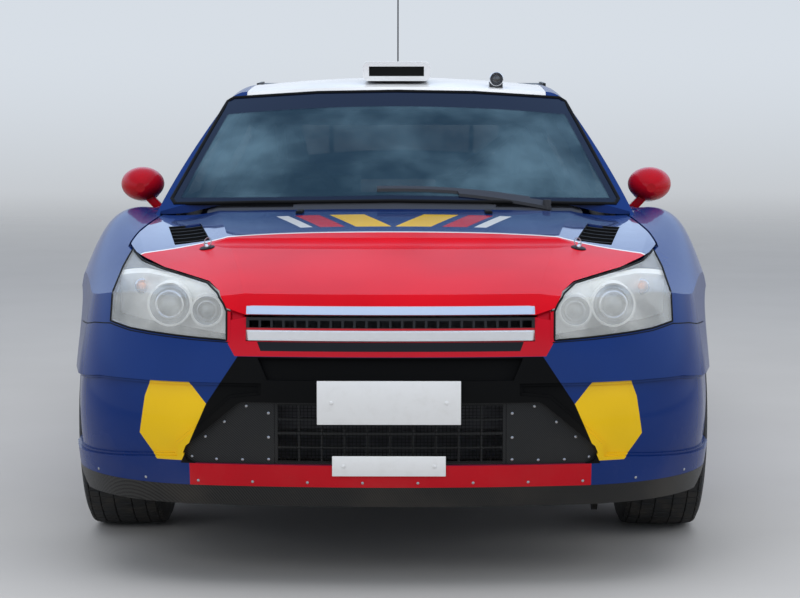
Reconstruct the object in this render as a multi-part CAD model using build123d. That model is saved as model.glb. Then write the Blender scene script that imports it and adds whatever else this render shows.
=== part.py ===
from build123d import *
from functools import cache
import math
import os

os.makedirs("parts", exist_ok=True)

# Rally car, a three-door hatchback with wide arches. Millimetres. The car faces -Y, its left
# side is +X, the ground is z = 0 and the origin is on the ground under the middle of the car.

# Overall sizes
LENGTH = 4274
WHEELBASE = 2608
FRONT_OVERHANG = 926
HALF_WIDTH = 892
DOOR_HALF_WIDTH = 832
TRACK_HALF = 752
RIDE_HEIGHT = 190

# Wheels and tyres
TYRE_RADIUS = 325
TYRE_WIDTH = 225
RIM_RADIUS = 229
RIM_WIDTH = 203
RIM_WALL = 9
SPOKE_COUNT = 8
HUB_BORE_RADIUS = 22.05
SPINDLE_RADIUS = 22
DISC_RADIUS = 172
DISC_THICKNESS = 26
ARCH_RADIUS = 392

# Wall thicknesses
PANEL = 26
BONNET_WALL = 24
SIDE_WALL = 45
ROOF_WALL = 32
GLASS = 5
SEAT_WALL = 14

# Gaps: shut lines of moving panels, lines between fixed panels, and seated pieces
SHUT_GAP = 6
PANEL_GAP = 0.3
SEAT_GAP = 0.3
RUNNING_GAP = 0.05

# Cage and mirrors
TUBE_RADIUS = 20
DOOR_THICKNESS = 66
STEER_LOCK = 28

NOSE_Y = -LENGTH / 2
TAIL_Y = LENGTH / 2
FRONT_AXLE_Y = NOSE_Y + FRONT_OVERHANG
REAR_AXLE_Y = FRONT_AXLE_Y + WHEELBASE


# Plain forms

def block(x0, x1, y0, y1, z0, z1):
    size = Vector(x1 - x0, y1 - y0, z1 - z0)
    return Pos(x0 + size.X / 2, y0 + size.Y / 2, z0 + size.Z / 2) * Box(size.X, size.Y, size.Z)


def outline_face(plane, points, radius):
    if radius:
        corners = [(x, y, 0) for x, y in points]
        wire = FilletPolyline(*corners, radius=radius, close=True)
    else:
        wire = Polyline(*[(x, y, 0) for x, y in points], close=True)
    return plane * make_face(wire)


def side_prism(points, x0, x1, radius=0):
    """Outline in (y, z), from x0 to x1."""
    return extrude(outline_face(Plane.YZ.offset(x0), points, radius), x1 - x0)


def front_prism(points, y0, y1, radius=0):
    """Outline in (x, z), from y0 back to y1."""
    plane = Plane(origin=(0, y0, 0), x_dir=(1, 0, 0), z_dir=(0, -1, 0))
    return extrude(outline_face(plane, points, radius), -(y1 - y0))


def top_prism(points, z0, z1, radius=0):
    """Outline in (x, y), from z0 up to z1."""
    return extrude(outline_face(Plane.XY.offset(z0), points, radius), z1 - z0)


def cross_cylinder(x0, x1, y, z, radius):
    return Pos((x0 + x1) / 2, y, z) * Rot(0, 90, 0) * Cylinder(radius, abs(x1 - x0))


def long_cylinder(x, y0, y1, z, radius):
    return Pos(x, (y0 + y1) / 2, z) * Rot(90, 0, 0) * Cylinder(radius, abs(y1 - y0))


def rod(start, end, radius):
    """Round bar between two points."""
    start, end = Vector(*start), Vector(*end)
    plane = Plane(origin=start, z_dir=end - start)
    return extrude(plane * Circle(radius), (end - start).length)


def bent_tube(points, radius, bend, wall=0):
    """Tube along straight runs joined by arcs."""
    path = FilletPolyline(*points, radius=bend) if len(points) > 2 else Line(*points)
    section = Plane(origin=path @ 0, z_dir=path % 0) * Circle(radius)
    if wall:
        section -= Plane(origin=path @ 0, z_dir=path % 0) * Circle(radius - wall)
    return sweep(section, path)


def mirrored(shape):
    return mirror(shape, Plane.YZ)


def pair(shape):
    """The shape and its mirror image as separate solids."""
    return Compound(children=[s for s in shape.solids()] + [s for s in mirrored(shape).solids()])


def both(shape):
    return shape + mirrored(shape)


def reflect(points):
    """Half an outline and its mirror image, as one closed outline."""
    return points + [(-x, z) for x, z in points[::-1]]


# Body volumes. Each is a loft of a few ribs of arcs, and an inset moves every wall inwards.

# Ribs of the front body. Columns: distance ahead of the front axle, inset of the side and its
# height, of the flank top, of the wing top, of the bonnet edge, of the hollow beside the raised
# middle, of its crease, then the height of the middle.
FRONT_RIBS = [
    (990, 0, 450, 15, 525, 100, 610, 300, 668, 460, 676, 555, 684, 690),
    (640, 0, 470, 10, 560, 95, 665, 280, 745, 420, 758, 500, 770, 776),
    (389, 0, 480, 8, 610, 85, 720, 230, 795, 380, 804, 460, 818, 825),
    (0, 0, 480, 16, 747, 55, 811, 165, 855, 310, 856, 400, 874, 885),
    (-571, 20, 500, 40, 790, 75, 845, 165, 880, 260, 895, 340, 912, 930),
]

# Inward direction of each point of a rib, as parts of the wall thickness
FRONT_INWARD = [(1, 0), (0.9, 0.45), (0.6, 0.8), (0.3, 0.95), (0.05, 1), (0.05, 1)]

# Plan outlines of the nose. Columns: height, how far behind the foremost point, radius of the
# front, its half angle, radius of the corner, and the angle where the corner ends.
NOSE_OUTLINES = [
    (120, 38, 3000, 9, 430, 80),
    (300, 8, 3000, 9, 430, 80),
    (500, 8, 3000, 9, 430, 80),
    (620, 36, 2800, 9, 450, 79),
    (720, 85, 2600, 9, 480, 78),
    (800, 207, 2600, 9, 500, 77),
    (960, 577, 2600, 9, 520, 76),
]

# Ribs of the middle body. Columns: distance behind the front axle, half width at the sill, at
# the side and its height, at the shoulder, above it, and at the belt.
MIDDLE_RIBS = [
    (431, -92, 0, 480, -32, 800, -57, 860, -97, 885),
    (1200, -92, 3, 480, -29, 808, -54, 868, -98, 893),
    (2000, -92, 3, 480, -27, 815, -52, 875, -100, 900),
]

# Ribs of the rear body, with columns as above, measured from the rear axle and from the full
# half width.
REAR_RIBS = [
    (-780, -150, -28, 470, -62, 790, -100, 868, -158, 893),
    (-300, -150, -4, 470, -24, 760, -80, 862, -162, 898),
    (0, -150, 0, 470, -18, 750, -76, 860, -170, 900),
    (420, -150, -16, 480, -40, 760, -92, 860, -185, 905),
    (790, -150, -60, 490, -84, 770, -125, 850, -210, 900),
]

# Plan outlines of the tail, with the nose's columns
TAIL_OUTLINES = [
    (150, 60, 3200, 10, 330, 84),
    (330, 12, 3200, 10, 330, 84),
    (560, 10, 3200, 10, 330, 84),
    (660, 50, 3200, 10, 340, 84),
    (930, 110, 3200, 10, 350, 84),
]

# Ribs of the cabin. Columns: distance behind the middle, half width at z = 800, at the cant
# rail and its height, at the roof edge and its height, and the height of the middle.
CABIN_RIBS = [
    (-1150, 735, 575, 1090, 500, 1118, 1140),
    (-450, 745, 545, 1205, 470, 1240, 1262),
    (100, 750, 545, 1235, 470, 1270, 1295),
    (900, 740, 530, 1190, 450, 1226, 1250),
    (1550, 700, 500, 1060, 420, 1096, 1118),
    (2050, 660, 460, 900, 380, 936, 956),
]
CABIN_FOOT_Z = 800

# Plan arcs of the windscreen. Columns: height, how far ahead of the middle, and radius.
WINDSCREEN_ARCS = [
    (800, 1222, 1700),
    (1060, 820, 1500),
    (1340, 345, 1200),
]
CABIN_TAIL_Y = 1990


def front_rib(row, inset):
    ahead, side, side_z, *rest = row
    y = FRONT_AXLE_Y - ahead
    crown_z = rest[-1] - inset
    lower = (HALF_WIDTH - 130 - inset, RIDE_HEIGHT + inset)
    columns = [(side, side_z)] + list(zip(rest[0:-1:2], rest[1:-1:2]))
    points = []
    for (side_inset, z), (across, down) in zip(columns, FRONT_INWARD):
        points.append((HALF_WIDTH - side_inset - inset * across, z - inset * down))
    knots = [lower] + points
    edges = [Line((-lower[0], y, lower[1]), (lower[0], y, lower[1]))]
    for first in (0, 2, 4):
        arc = [(x, y, z) for x, z in knots[first:first + 3]]
        edges.append(ThreePointArc(*arc))
    last_x, last_z = knots[-1]
    edges.append(ThreePointArc((last_x, y, last_z), (0, y, crown_z), (-last_x, y, last_z)))
    for first in (4, 2, 0):
        arc = [(-x, y, z) for x, z in knots[first:first + 3]]
        edges.append(ThreePointArc(*arc[::-1]))
    return Wire(edges)


def side_rib(y, half_width, row, inset):
    sill, side, side_z, shoulder, shoulder_z, via, via_z, belt, belt_z = row
    knots = [
        (half_width + sill - inset, RIDE_HEIGHT + inset * 0.2),
        (half_width + side - inset, side_z),
        (half_width + shoulder - inset, shoulder_z - inset * 0.2),
        (half_width + via - inset * 0.8, via_z - inset * 0.6),
        (half_width + belt - inset * 0.5, belt_z - inset),
    ]
    arcs = []
    for sign in (1, -1):
        for first in (0, 2):
            arcs.append(ThreePointArc(*[(sign * x, y, z) for x, z in knots[first:first + 3]]))
    top = Line((knots[4][0], y, knots[4][1]), (-knots[4][0], y, knots[4][1]))
    foot = Line((-knots[0][0], y, knots[0][1]), (knots[0][0], y, knots[0][1]))
    return Wire([foot] + arcs[:2] + [top] + arcs[2:])


def plan_outline(z, front_y, row, inset, back_y, facing=1):
    """Closed plan outline: a shallow front arc, a corner arc each side, and straight flanks."""
    behind, front_radius, half_angle, corner_radius, end_angle = row
    first, last = math.radians(half_angle), math.radians(end_angle)
    radius = front_radius - inset
    corner = corner_radius - inset
    middle_y = front_y + behind + inset
    x1 = radius * math.sin(first)
    y1 = middle_y + radius * (1 - math.cos(first))
    centre_x = x1 - corner * math.sin(first)
    centre_y = y1 + corner * math.cos(first)
    half = (first + last) / 2
    xm, ym = centre_x + corner * math.sin(half), centre_y - corner * math.cos(half)
    x2, y2 = centre_x + corner * math.sin(last), centre_y - corner * math.cos(last)
    x3 = x2 + (back_y - y2) / math.tan(last)

    def at(x, y):
        return (x, facing * y, z)

    return Wire([
        ThreePointArc(at(-x1, y1), at(0, middle_y), at(x1, y1)),
        ThreePointArc(at(x1, y1), at(xm, ym), at(x2, y2)),
        Line(at(x2, y2), at(x3, back_y)),
        Line(at(x3, back_y), at(-x3, back_y)),
        Line(at(-x3, back_y), at(-x2, y2)),
        ThreePointArc(at(-x2, y2), at(-xm, ym), at(-x1, y1)),
    ])


def loft_wires(wires):
    return Solid.make_loft(wires)


@cache
def front_volume(inset=0):
    length = loft_wires([front_rib(row, inset) for row in FRONT_RIBS])
    nose = loft_wires([
        plan_outline(row[0], NOSE_Y, row[1:], inset, FRONT_AXLE_Y + 700) for row in NOSE_OUTLINES
    ])
    return length & nose


@cache
def middle_volume(inset=0):
    return loft_wires([
        side_rib(FRONT_AXLE_Y + row[0], DOOR_HALF_WIDTH, row[1:], inset) for row in MIDDLE_RIBS
    ])


@cache
def rear_volume(inset=0):
    length = loft_wires([
        side_rib(REAR_AXLE_Y + row[0], HALF_WIDTH, row[1:], inset) for row in REAR_RIBS
    ])
    tail = loft_wires([
        plan_outline(row[0], -TAIL_Y, row[1:], inset, -(REAR_AXLE_Y - 900), -1)
        for row in TAIL_OUTLINES
    ])
    return length & tail


def cabin_rib(row, inset):
    y, foot, cant, cant_z, edge, edge_z, crown_z = row
    knots = [
        (foot - inset, CABIN_FOOT_Z),
        (cant - inset, cant_z - inset * 0.3),
        (edge - inset * 0.5, edge_z - inset * 0.9),
    ]
    via = ((knots[0][0] + knots[1][0]) / 2 + 22, (knots[0][1] + knots[1][1]) / 2)
    corner = ((knots[1][0] + knots[2][0]) / 2 + 10, (knots[1][1] + knots[2][1]) / 2 + 7)
    edges = [Line((-knots[0][0], y, CABIN_FOOT_Z), (knots[0][0], y, CABIN_FOOT_Z))]
    for sign in (1, -1):
        edges.append(ThreePointArc(*[(sign * x, y, z) for x, z in (knots[0], via, knots[1])]))
        edges.append(ThreePointArc(*[(sign * x, y, z) for x, z in (knots[1], corner, knots[2])]))
    x, z = knots[2]
    edges.append(ThreePointArc((x, y, z), (0, y, crown_z - inset), (-x, y, z)))
    return Wire(edges)


def windscreen_outline(row, inset):
    z, ahead, radius = row
    front_y = -ahead + inset
    reach = 860
    flank_y = front_y + (radius - inset) - math.sqrt((radius - inset) ** 2 - reach ** 2)
    return Wire([
        ThreePointArc((-reach, flank_y, z), (0, front_y, z), (reach, flank_y, z)),
        Line((reach, flank_y, z), (reach, CABIN_TAIL_Y - inset, z)),
        Line((reach, CABIN_TAIL_Y - inset, z), (-reach, CABIN_TAIL_Y - inset, z)),
        Line((-reach, CABIN_TAIL_Y - inset, z), (-reach, flank_y, z)),
    ])


@cache
def cabin_volume(inset=0):
    length = loft_wires([cabin_rib(row, inset) for row in CABIN_RIBS])
    screen = loft_wires([windscreen_outline(row, inset) for row in WINDSCREEN_ARCS])
    return length & screen


# Body panels, cut from the volumes. Outlines are in (x, z) seen from the front, (y, z) from the
# side or (x, y) from above.
FAR = 2400
BONNET_FRONT = [(360, 683), (408, 698), (430, 735), (465, 753), (600, 776), (695, 803), (724, 818)]
BONNET_SIDE_X = 724
BONNET_REAR_X = 690
BONNET_REAR_Y = -960
BONNET_REAR_MIDDLE_Y = -1100
BONNET_REAR_BENDS = [(450, -1068), (560, -1030)]
BONNET_BEND_Y = -1400
BONNET_HINGE = (-985, 846)
BONNET_HINGE_X = 600
LID_HINGE_RADIUS = 8
LID_PIN_RADIUS = 4
LID_BARREL = 24
LID_LUG = 12
BUMPER_NECK_X = 396
BUMPER_TOP = [(BUMPER_NECK_X, 616), (497, 621), (603, 629), (660, 634), (718, 645), (770, 639), (873, 606), (1100, 606)]
LAMP_OUTLINE = [
    (404, 621), (406, 690), (415, 708), (433, 731), (467, 749), (600, 772), (668, 788), (712, 808),
    (721, 771), (721, 733), (719, 690), (718, 651), (660, 640), (603, 635), (497, 627),
]
LAMP_BACK_Y = -1385
INTAKE = [(0, 318), (482, 318), (503, 324), (513, 345), (506, 362), (378, 468), (366, 473), (0, 473)]
INTAKE_SPLIT_X = 286
GRILLE = [(0, 620), (357, 620), (357, 678), (0, 678)]
SLOT = [(0, 526), (303, 526), (327, 580), (0, 580)]

# The sunk field round the intake. Columns: depth, how far its outline is drawn in.
SCALLOP = [(318, 519), (653, 519), (740, 517), (900, 486), (900, 300), (600, 330), (528, 334), (524, 366), (392, 482), (318, 490)]
SCALLOP_STEPS = [(7, 0), (13, 7)]
SCALLOP_END_Y = -1530

# Bright bar along the bonnet's front edge, air outlets and door handle
BONNET_BAR = [(0, 685), (350, 685), (357, 704), (0, 704)]
OUTLET = [(645, -1206), (556, -1192), (505, -1455), (598, -1470)]
OUTLET_FINS = 5
HANDLE = (395, 484, 800)
SPLITTER_Z = (212, 262)
SPLITTER_BACK_Y = -1600
ARCH_Z = 300
FENDER_END_Y = -708
FENDER_X = BUMPER_NECK_X + PANEL_GAP
HINGE_X = DOOR_HALF_WIDTH + 13
HINGE_Y = -697
HINGE_HEIGHTS = (430, 700)
HINGE_BARREL = 60
HINGE_BARREL_RADIUS = 9
HINGE_PIN_RADIUS = 4
DOOR_OUTLINE = [
    (-700, 330), (-700, 862), (-640, 925), (-375, 1178), (80, 1209), (520, 1192), (520, 330),
]
DOOR_WINDOW = [(-590, 912), (-350, 1148), (70, 1182), (340, 1168), (372, 912)]
DOOR_REAR_Y = 500
DOOR_REAR_LEAN = 0.25
QUARTER_WINDOW = [(552, 935), (506, 1160), (830, 1146), (1190, 1066), (1400, 955), (1390, 935)]
ROOF_HALF = 478
ROOF_FRONT_Y = -455
ROOF_REAR_Y = 985
TAILGATE_FRONT_Y = 1000
TAILGATE_Z = 632
TAILGATE_HINGE_Z = 1236
TAILGATE_HINGE_X = 200
TAILGATE_PLAN = [(478, TAILGATE_FRONT_Y), (478, 1480), (598, 1770), (598, 2300)]
TAIL_LAMP = [(652, 640), (920, 640), (920, 862), (672, 862)]
REAR_BUMPER_TOP_Z = 617
WINDSCREEN = [
    (0, 917), (400, 911), (662, 903), (675, 918), (543, 1214), (524, 1226), (250, 1243), (0, 1247),
]


def half_outline(points):
    """A half outline that starts and ends on the middle line, completed by its mirror image."""
    return points + [(-x, z) for x, z in points[::-1] if x]


def largest(shape):
    return max(shape.solids(), key=lambda solid: solid.volume)


def front_face(points, inset=0):
    plane = Plane(origin=(0, -FAR, 0), x_dir=(1, 0, 0), z_dir=(0, -1, 0))
    face = outline_face(plane, points, 0)
    return offset(face, -inset, kind=Kind.INTERSECTION) if inset else face


def side_face(points, inset=0):
    face = outline_face(Plane.YZ, points, 0)
    return offset(face, -inset, kind=Kind.INTERSECTION) if inset else face


def bonnet_region(grow):
    """What lies behind the bonnet's outline in elevation and inside it in plan."""
    elevation = [(x, z - grow) for x, z in BONNET_FRONT[:-1]]
    last = BONNET_FRONT[-1]
    elevation += [(last[0] + grow, last[1] - grow), (last[0] + grow, 1100)]
    solid = front_prism([(-x, z) for x, z in elevation[::-1]] + elevation, -FAR, -600)
    side, rear_x = BONNET_SIDE_X + grow, BONNET_REAR_X + grow
    rear_y, middle_y = BONNET_REAR_Y + grow, BONNET_REAR_MIDDLE_Y + grow
    inner, outer = [(x, y + grow) for x, y in BONNET_REAR_BENDS]
    edges = [
        Line((-rear_x, rear_y), (-outer[0], outer[1])),
        Line((-outer[0], outer[1]), (-inner[0], inner[1])),
        ThreePointArc((-inner[0], inner[1]), (0, middle_y), inner),
        Line(inner, outer),
        Line(outer, (rear_x, rear_y)),
        Line((rear_x, rear_y), (side, BONNET_BEND_Y)),
        Line((side, BONNET_BEND_Y), (side, -FAR)),
        Line((side, -FAR), (-side, -FAR)),
        Line((-side, -FAR), (-side, BONNET_BEND_Y)),
        Line((-side, BONNET_BEND_Y), (-rear_x, rear_y)),
    ]
    return solid & extrude(Plane.XY.offset(500) * make_face(edges), 700)


def lamp_region(inset):
    reach = LAMP_BACK_Y + FAR - inset
    return extrude(front_face(LAMP_OUTLINE, inset), -reach)


def door_region(grow):
    """What the left door fills, bounded behind by a face that leans inwards and forwards."""
    outline = extrude(side_face(DOOR_OUTLINE, -grow), 1100)
    inner_x, outer_x = 380, HINGE_X

    def rear_y(x):
        return DOOR_REAR_Y - (HINGE_X - x) * DOOR_REAR_LEAN + grow

    plan = [(inner_x, -900), (outer_x + 100, -900), (outer_x + 100, rear_y(outer_x + 100)),
            (inner_x, rear_y(inner_x))]
    return outline & top_prism(plan, 200, 1400)


def tailgate_region(grow):
    """What the tailgate fills. It widens to the rear, so it lifts out freely."""
    left = [(x + grow, y) for x, y in TAILGATE_PLAN]
    left[0] = (left[0][0], TAILGATE_FRONT_Y - grow)
    return top_prism(left + [(-x, y) for x, y in left[::-1]], TAILGATE_Z - grow, 1400)


def tail_lamp_region(inset):
    plane = Plane(origin=(0, 1800, 0), x_dir=(1, 0, 0), z_dir=(0, -1, 0))
    face = outline_face(plane, TAIL_LAMP, 0)
    if inset:
        face = offset(face, -inset, kind=Kind.INTERSECTION)
    return extrude(face, -(FAR - 1800))


front_outer = front_volume()
front_skin = front_outer - front_volume(PANEL)
front_arch = cross_cylinder(-1100, 1100, FRONT_AXLE_Y, ARCH_Z, ARCH_RADIUS)
rear_arch = cross_cylinder(-1100, 1100, REAR_AXLE_Y, ARCH_Z, ARCH_RADIUS)

shell_outer = middle_volume() + rear_volume() + cabin_volume()
shell_inner = middle_volume(SIDE_WALL) + rear_volume(SIDE_WALL) + cabin_volume(SIDE_WALL - 5)
shell = shell_outer - shell_inner
cabin_glass_skin = cabin_volume() - cabin_volume(GLASS)
windscreen_cut = extrude(front_face(half_outline(WINDSCREEN)), -(FAR - 200))


def lid_barrel(x, y, z):
    """Barrel of a lid's hinge, bored for its pin."""
    half = LID_BARREL / 2
    barrel = cross_cylinder(x - half, x + half, y, z, LID_HINGE_RADIUS)
    return barrel - cross_cylinder(x - half - 1, x + half + 1, y, z, LID_PIN_RADIUS + RUNNING_GAP)


def lid_lugs(x, y, z, reach_y, reach_z):
    """Two ears and the pin between them, with roots that reach to what carries them."""
    inner = LID_BARREL / 2 + 1
    outer = inner + LID_LUG
    solids = [cross_cylinder(x - outer, x + outer, y, z, LID_PIN_RADIUS)]
    for start, end in ((x - outer, x - inner), (x + inner, x + outer)):
        solids.append(cross_cylinder(start, end, y, z, LID_HINGE_RADIUS))
        solids.append(block(start, end, min(y, reach_y), max(y, reach_y), min(z, reach_z), max(z, reach_z)))
    return solids


def lid_clearance(x, y, z, extra):
    outer = LID_BARREL / 2 + 1 + LID_LUG + 3
    return cross_cylinder(x - outer, x + outer, y, z, LID_HINGE_RADIUS + extra)


def make_bonnet():
    """Skin with a bright front bar, two finned air outlets and a bored hinge barrel each side."""
    bonnet = (front_outer - front_volume(BONNET_WALL)) & bonnet_region(0)
    y, z = BONNET_HINGE
    clearance = lid_clearance(BONNET_HINGE_X, y, z, 3)
    bonnet -= both(clearance)
    outlet = top_prism(OUTLET, 600, 1000)
    bonnet -= both(outlet)
    fin_skin = front_volume(3) - front_volume(BONNET_WALL - 4)
    near, far = OUTLET[2][1], OUTLET[0][1]
    fins = []
    for index in range(OUTLET_FINS):
        fin_y = near + (far - near) * (index + 0.5) / OUTLET_FINS
        fins.append(block(480, 670, fin_y, fin_y + 9, 600, 1000))
    inner = [(x + (2 if x > 580 else -2), fin_y) for x, fin_y in OUTLET]
    fins = fin_skin & (top_prism(inner, 600, 1000) & (fins[0] + fins[1:]))
    arm = block(BONNET_HINGE_X - 10, BONNET_HINGE_X + 10, y - 40, y, z - 2, z + 18)
    arm &= front_volume(4)
    arm -= cross_cylinder(BONNET_HINGE_X - 20, BONNET_HINGE_X + 20, y, z, LID_PIN_RADIUS + RUNNING_GAP)
    barrel = lid_barrel(BONNET_HINGE_X, y, z)
    bar = (front_volume(-4) - front_volume(10)) & extrude(front_face(half_outline(BONNET_BAR)), -500)
    return largest(bonnet + [arm, barrel, mirrored(arm), mirrored(barrel), bar] + both(fins).solids())


def door_lugs(z):
    """Ears behind the arch that carry the pin of one door hinge."""
    half = HINGE_BARREL / 2
    solids = [Pos(HINGE_X, HINGE_Y, z) * Cylinder(HINGE_PIN_RADIUS, HINGE_BARREL + 30)]
    for start in (z - half - 15, z + half + 1):
        solids.append(block(HINGE_X - 7, HINGE_X + 32, FENDER_END_Y - 4, HINGE_Y, start, start + 14))
    return solids


def door_barrel(z):
    half = HINGE_BARREL / 2
    barrel = Pos(HINGE_X, HINGE_Y, z) * Cylinder(HINGE_BARREL_RADIUS, HINGE_BARREL)
    arm = block(HINGE_X - 60, HINGE_X, HINGE_Y + 1, HINGE_Y + 9, z - half, z + half)
    return (barrel + arm) - Pos(HINGE_X, HINGE_Y, z) * Cylinder(HINGE_PIN_RADIUS + RUNNING_GAP, HINGE_BARREL + 2)


def make_front_fender():
    upper = [(x, z + PANEL_GAP) for x, z in BUMPER_TOP] + [(1100, 1000), (BUMPER_NECK_X + PANEL_GAP, 1000)]
    upper[0] = (BUMPER_NECK_X + PANEL_GAP, upper[0][1])
    fender = front_skin & front_prism(upper, -FAR, FRONT_AXLE_Y)
    fender += front_skin & block(FENDER_X, 1100, FRONT_AXLE_Y, FENDER_END_Y, 150, 1000)
    fender -= bonnet_region(SHUT_GAP)
    fender -= lamp_region(0)
    fender -= front_arch
    fender -= cabin_volume(-PANEL_GAP)
    fender -= block(0, 702, FRONT_AXLE_Y, 0, 0, 700)
    for z in HINGE_HEIGHTS:
        fender += door_lugs(z)
    return largest(fender)


def make_front_bumper():
    """Skin with its openings, the slot over the intake and the sunk field beside it."""
    low = [(0, SPLITTER_Z[1] + PANEL_GAP), (1100, SPLITTER_Z[1] + PANEL_GAP)] + BUMPER_TOP[::-1]
    low += [(BUMPER_NECK_X, 670), (360, 677), (0, 677)]
    bumper = front_skin & front_prism(half_outline(low), -FAR, FRONT_AXLE_Y)
    bumper -= extrude(front_face(half_outline(INTAKE)), -500)
    bumper -= extrude(front_face(half_outline(GRILLE)), -500)
    slot_back = front_outer - front_volume(18)
    bumper -= slot_back & extrude(front_face(half_outline(SLOT)), -500)
    for depth, drawn_in in SCALLOP_STEPS:
        field = extrude(front_face(SCALLOP, drawn_in), -(FAR + SCALLOP_END_Y - drawn_in))
        bumper -= both((front_outer - front_volume(depth)) & field)
    return largest(bumper - front_arch)


def make_splitter():
    top = front_volume() & block(-1000, 1000, -FAR, SPLITTER_BACK_Y, *SPLITTER_Z)
    core = front_volume(60) & block(-1000, 1000, -FAR, SPLITTER_BACK_Y, SPLITTER_Z[0] + 12, 400)
    return largest(top - core)


# Round lamp units of the left headlamp. Columns: x, z, radius, y of the front rim, depth.
LAMP_UNITS = [
    (568, 692, 57, -1872, 110),
    (466, 682, 42, -1938, 90),
]
LAMP_PLATE = [(398, -1950), (560, -1800), (760, -1640), (760, -1600), (560, -1760), (398, -1910)]
LAMP_UNIT_WALL = 5


def make_headlamps():
    """Back plate of the left lamp with its two round units, and its mirror image."""
    housing = top_prism(LAMP_PLATE, 560, 860) & lamp_region(1)
    for x, z, radius, rim_y, depth in LAMP_UNITS:
        unit = long_cylinder(x, rim_y, rim_y + depth, z, radius)
        unit -= long_cylinder(x, rim_y - 1, rim_y + depth - 30, z, radius - LAMP_UNIT_WALL)
        housing += unit
    return pair(largest(housing & front_volume(GLASS + 1)))


def make_headlamp_lenses():
    lens = (front_outer - front_volume(GLASS)) & lamp_region(SEAT_GAP)
    return pair(largest(lens))


def make_roof_panel():
    region = block(-ROOF_HALF, ROOF_HALF, ROOF_FRONT_Y - 200, ROOF_REAR_Y, 1000, 1500)
    roof = (cabin_volume() - cabin_volume(ROOF_WALL)) & region
    roof -= windscreen_cut
    hinge = lid_lugs(TAILGATE_HINGE_X, TAILGATE_FRONT_Y, TAILGATE_HINGE_Z, ROOF_REAR_Y - 12, TAILGATE_HINGE_Z - 12)
    return largest(roof + hinge + [mirrored(piece) for piece in hinge])


def rear_bumper_region():
    return block(-1100, 1100, REAR_AXLE_Y, FAR, 100, REAR_BUMPER_TOP_Z)


def make_bodyside():
    side = shell & block(ROOF_HALF + PANEL_GAP, 1100, -1300, FAR, 150, 1500)
    side += shell & block(300, ROOF_HALF + PANEL_GAP, -1300, ROOF_FRONT_Y - 60, 880, 1180)
    side += shell & block(300, ROOF_HALF + PANEL_GAP, ROOF_REAR_Y + PANEL_GAP, FAR, 600, 1500)
    side -= windscreen_cut
    side -= bonnet_region(SHUT_GAP) & block(-1100, 1100, -FAR, -600, 700, 1200)
    side -= front_volume() & block(-1100, 1100, -FAR, FENDER_END_Y + PANEL_GAP, 100, 1000)
    side -= door_region(SHUT_GAP)
    side -= extrude(side_face(QUARTER_WINDOW), 1100)
    side -= tailgate_region(SHUT_GAP)
    y, z = BONNET_HINGE
    side -= block(0, BONNET_REAR_X + 10, y - 14, y + 45, z - 26, 1000)
    side -= tail_lamp_region(0)
    side -= rear_bumper_region()
    side -= block(-1100, 1100, REAR_AXLE_Y, FAR, 100, REAR_BUMPER_TOP_Z + PANEL_GAP)
    return largest(side - rear_arch)


COWL_LIP_X = 298
COWL_LIP_Y = (-1070, -1026)


def make_cowl():
    """Panel behind the bonnet, with a lip under the windscreen's edge and the bonnet's hinge ears."""
    skin = cabin_volume(GLASS + SEAT_GAP) - cabin_volume(SIDE_WALL - 5)
    cowl = skin & block(-690, 690, -1300, -800, 800, 1000)
    cowl -= windscreen_cut
    cowl -= bonnet_region(8) - front_volume(BONNET_WALL + 8)
    cowl &= front_volume(SEAT_GAP)
    cowl += skin & block(-COWL_LIP_X, COWL_LIP_X, *COWL_LIP_Y, 850, 1000)
    shelf_y = FIREWALL_Y - SEAT_GAP
    shelf = block(-600, 600, -1160, shelf_y, CABIN_FOOT_Z, CABIN_FOOT_Z + 10)
    cowl += shelf & cabin_volume(GLASS + SEAT_GAP)
    y, z = BONNET_HINGE
    cowl -= both(block(BONNET_HINGE_X - 45, BONNET_REAR_X + 10, y - 46, y + 45, z - 26, 1000))
    hinge = lid_lugs(BONNET_HINGE_X, y, z, y - 14, CABIN_FOOT_Z + 2)
    hinge = [piece for piece in hinge] + [mirrored(piece) for piece in hinge]
    return largest(cowl + hinge)


def make_door():
    lower = (middle_volume() - middle_volume(DOOR_THICKNESS)) & block(0, 1100, -900, 700, 300, 905)
    lower -= block(0, DOOR_HALF_WIDTH - DOOR_THICKNESS - 74, -900, 700, 300, 906)
    upper = (cabin_volume() - cabin_volume(SIDE_WALL - 5)) & block(0, 1100, -900, 700, 860, 1400)
    door = (lower + upper) & door_region(0)
    door -= extrude(side_face(DOOR_WINDOW), 1100)
    for z in HINGE_HEIGHTS:
        door -= Pos(HINGE_X, HINGE_Y, z) * Cylinder(HINGE_BARREL_RADIUS + 5, HINGE_BARREL + 44)
    near, far, z = HANDLE
    grip = block(DOOR_HALF_WIDTH - 60, 1000, near, far, z - 11, z + 11)
    grip &= middle_volume(-13) - middle_volume(8)
    return largest(door + [door_barrel(z) for z in HINGE_HEIGHTS] + [grip])


def make_door_glass():
    glass = cabin_glass_skin & extrude(side_face(DOOR_WINDOW, SEAT_GAP), 1100)
    return largest(glass)


def make_quarter_glass():
    glass = cabin_glass_skin & extrude(side_face(QUARTER_WINDOW, SEAT_GAP), 1100)
    return pair(largest(glass))


def make_windscreen():
    glass = cabin_glass_skin & extrude(front_face(half_outline(WINDSCREEN), SEAT_GAP), -(FAR - 200))
    return largest(glass)


REAR_GLASS = [(1120, 398), (1860, 398)]
TAIL_GLASS = [(0, 700), (470, 700), (500, 880), (0, 880)]


def rear_glass_region(inset):
    return block(-398 + inset, 398 - inset, 1130 + inset, 1900 - inset, 940, 1400)


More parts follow.
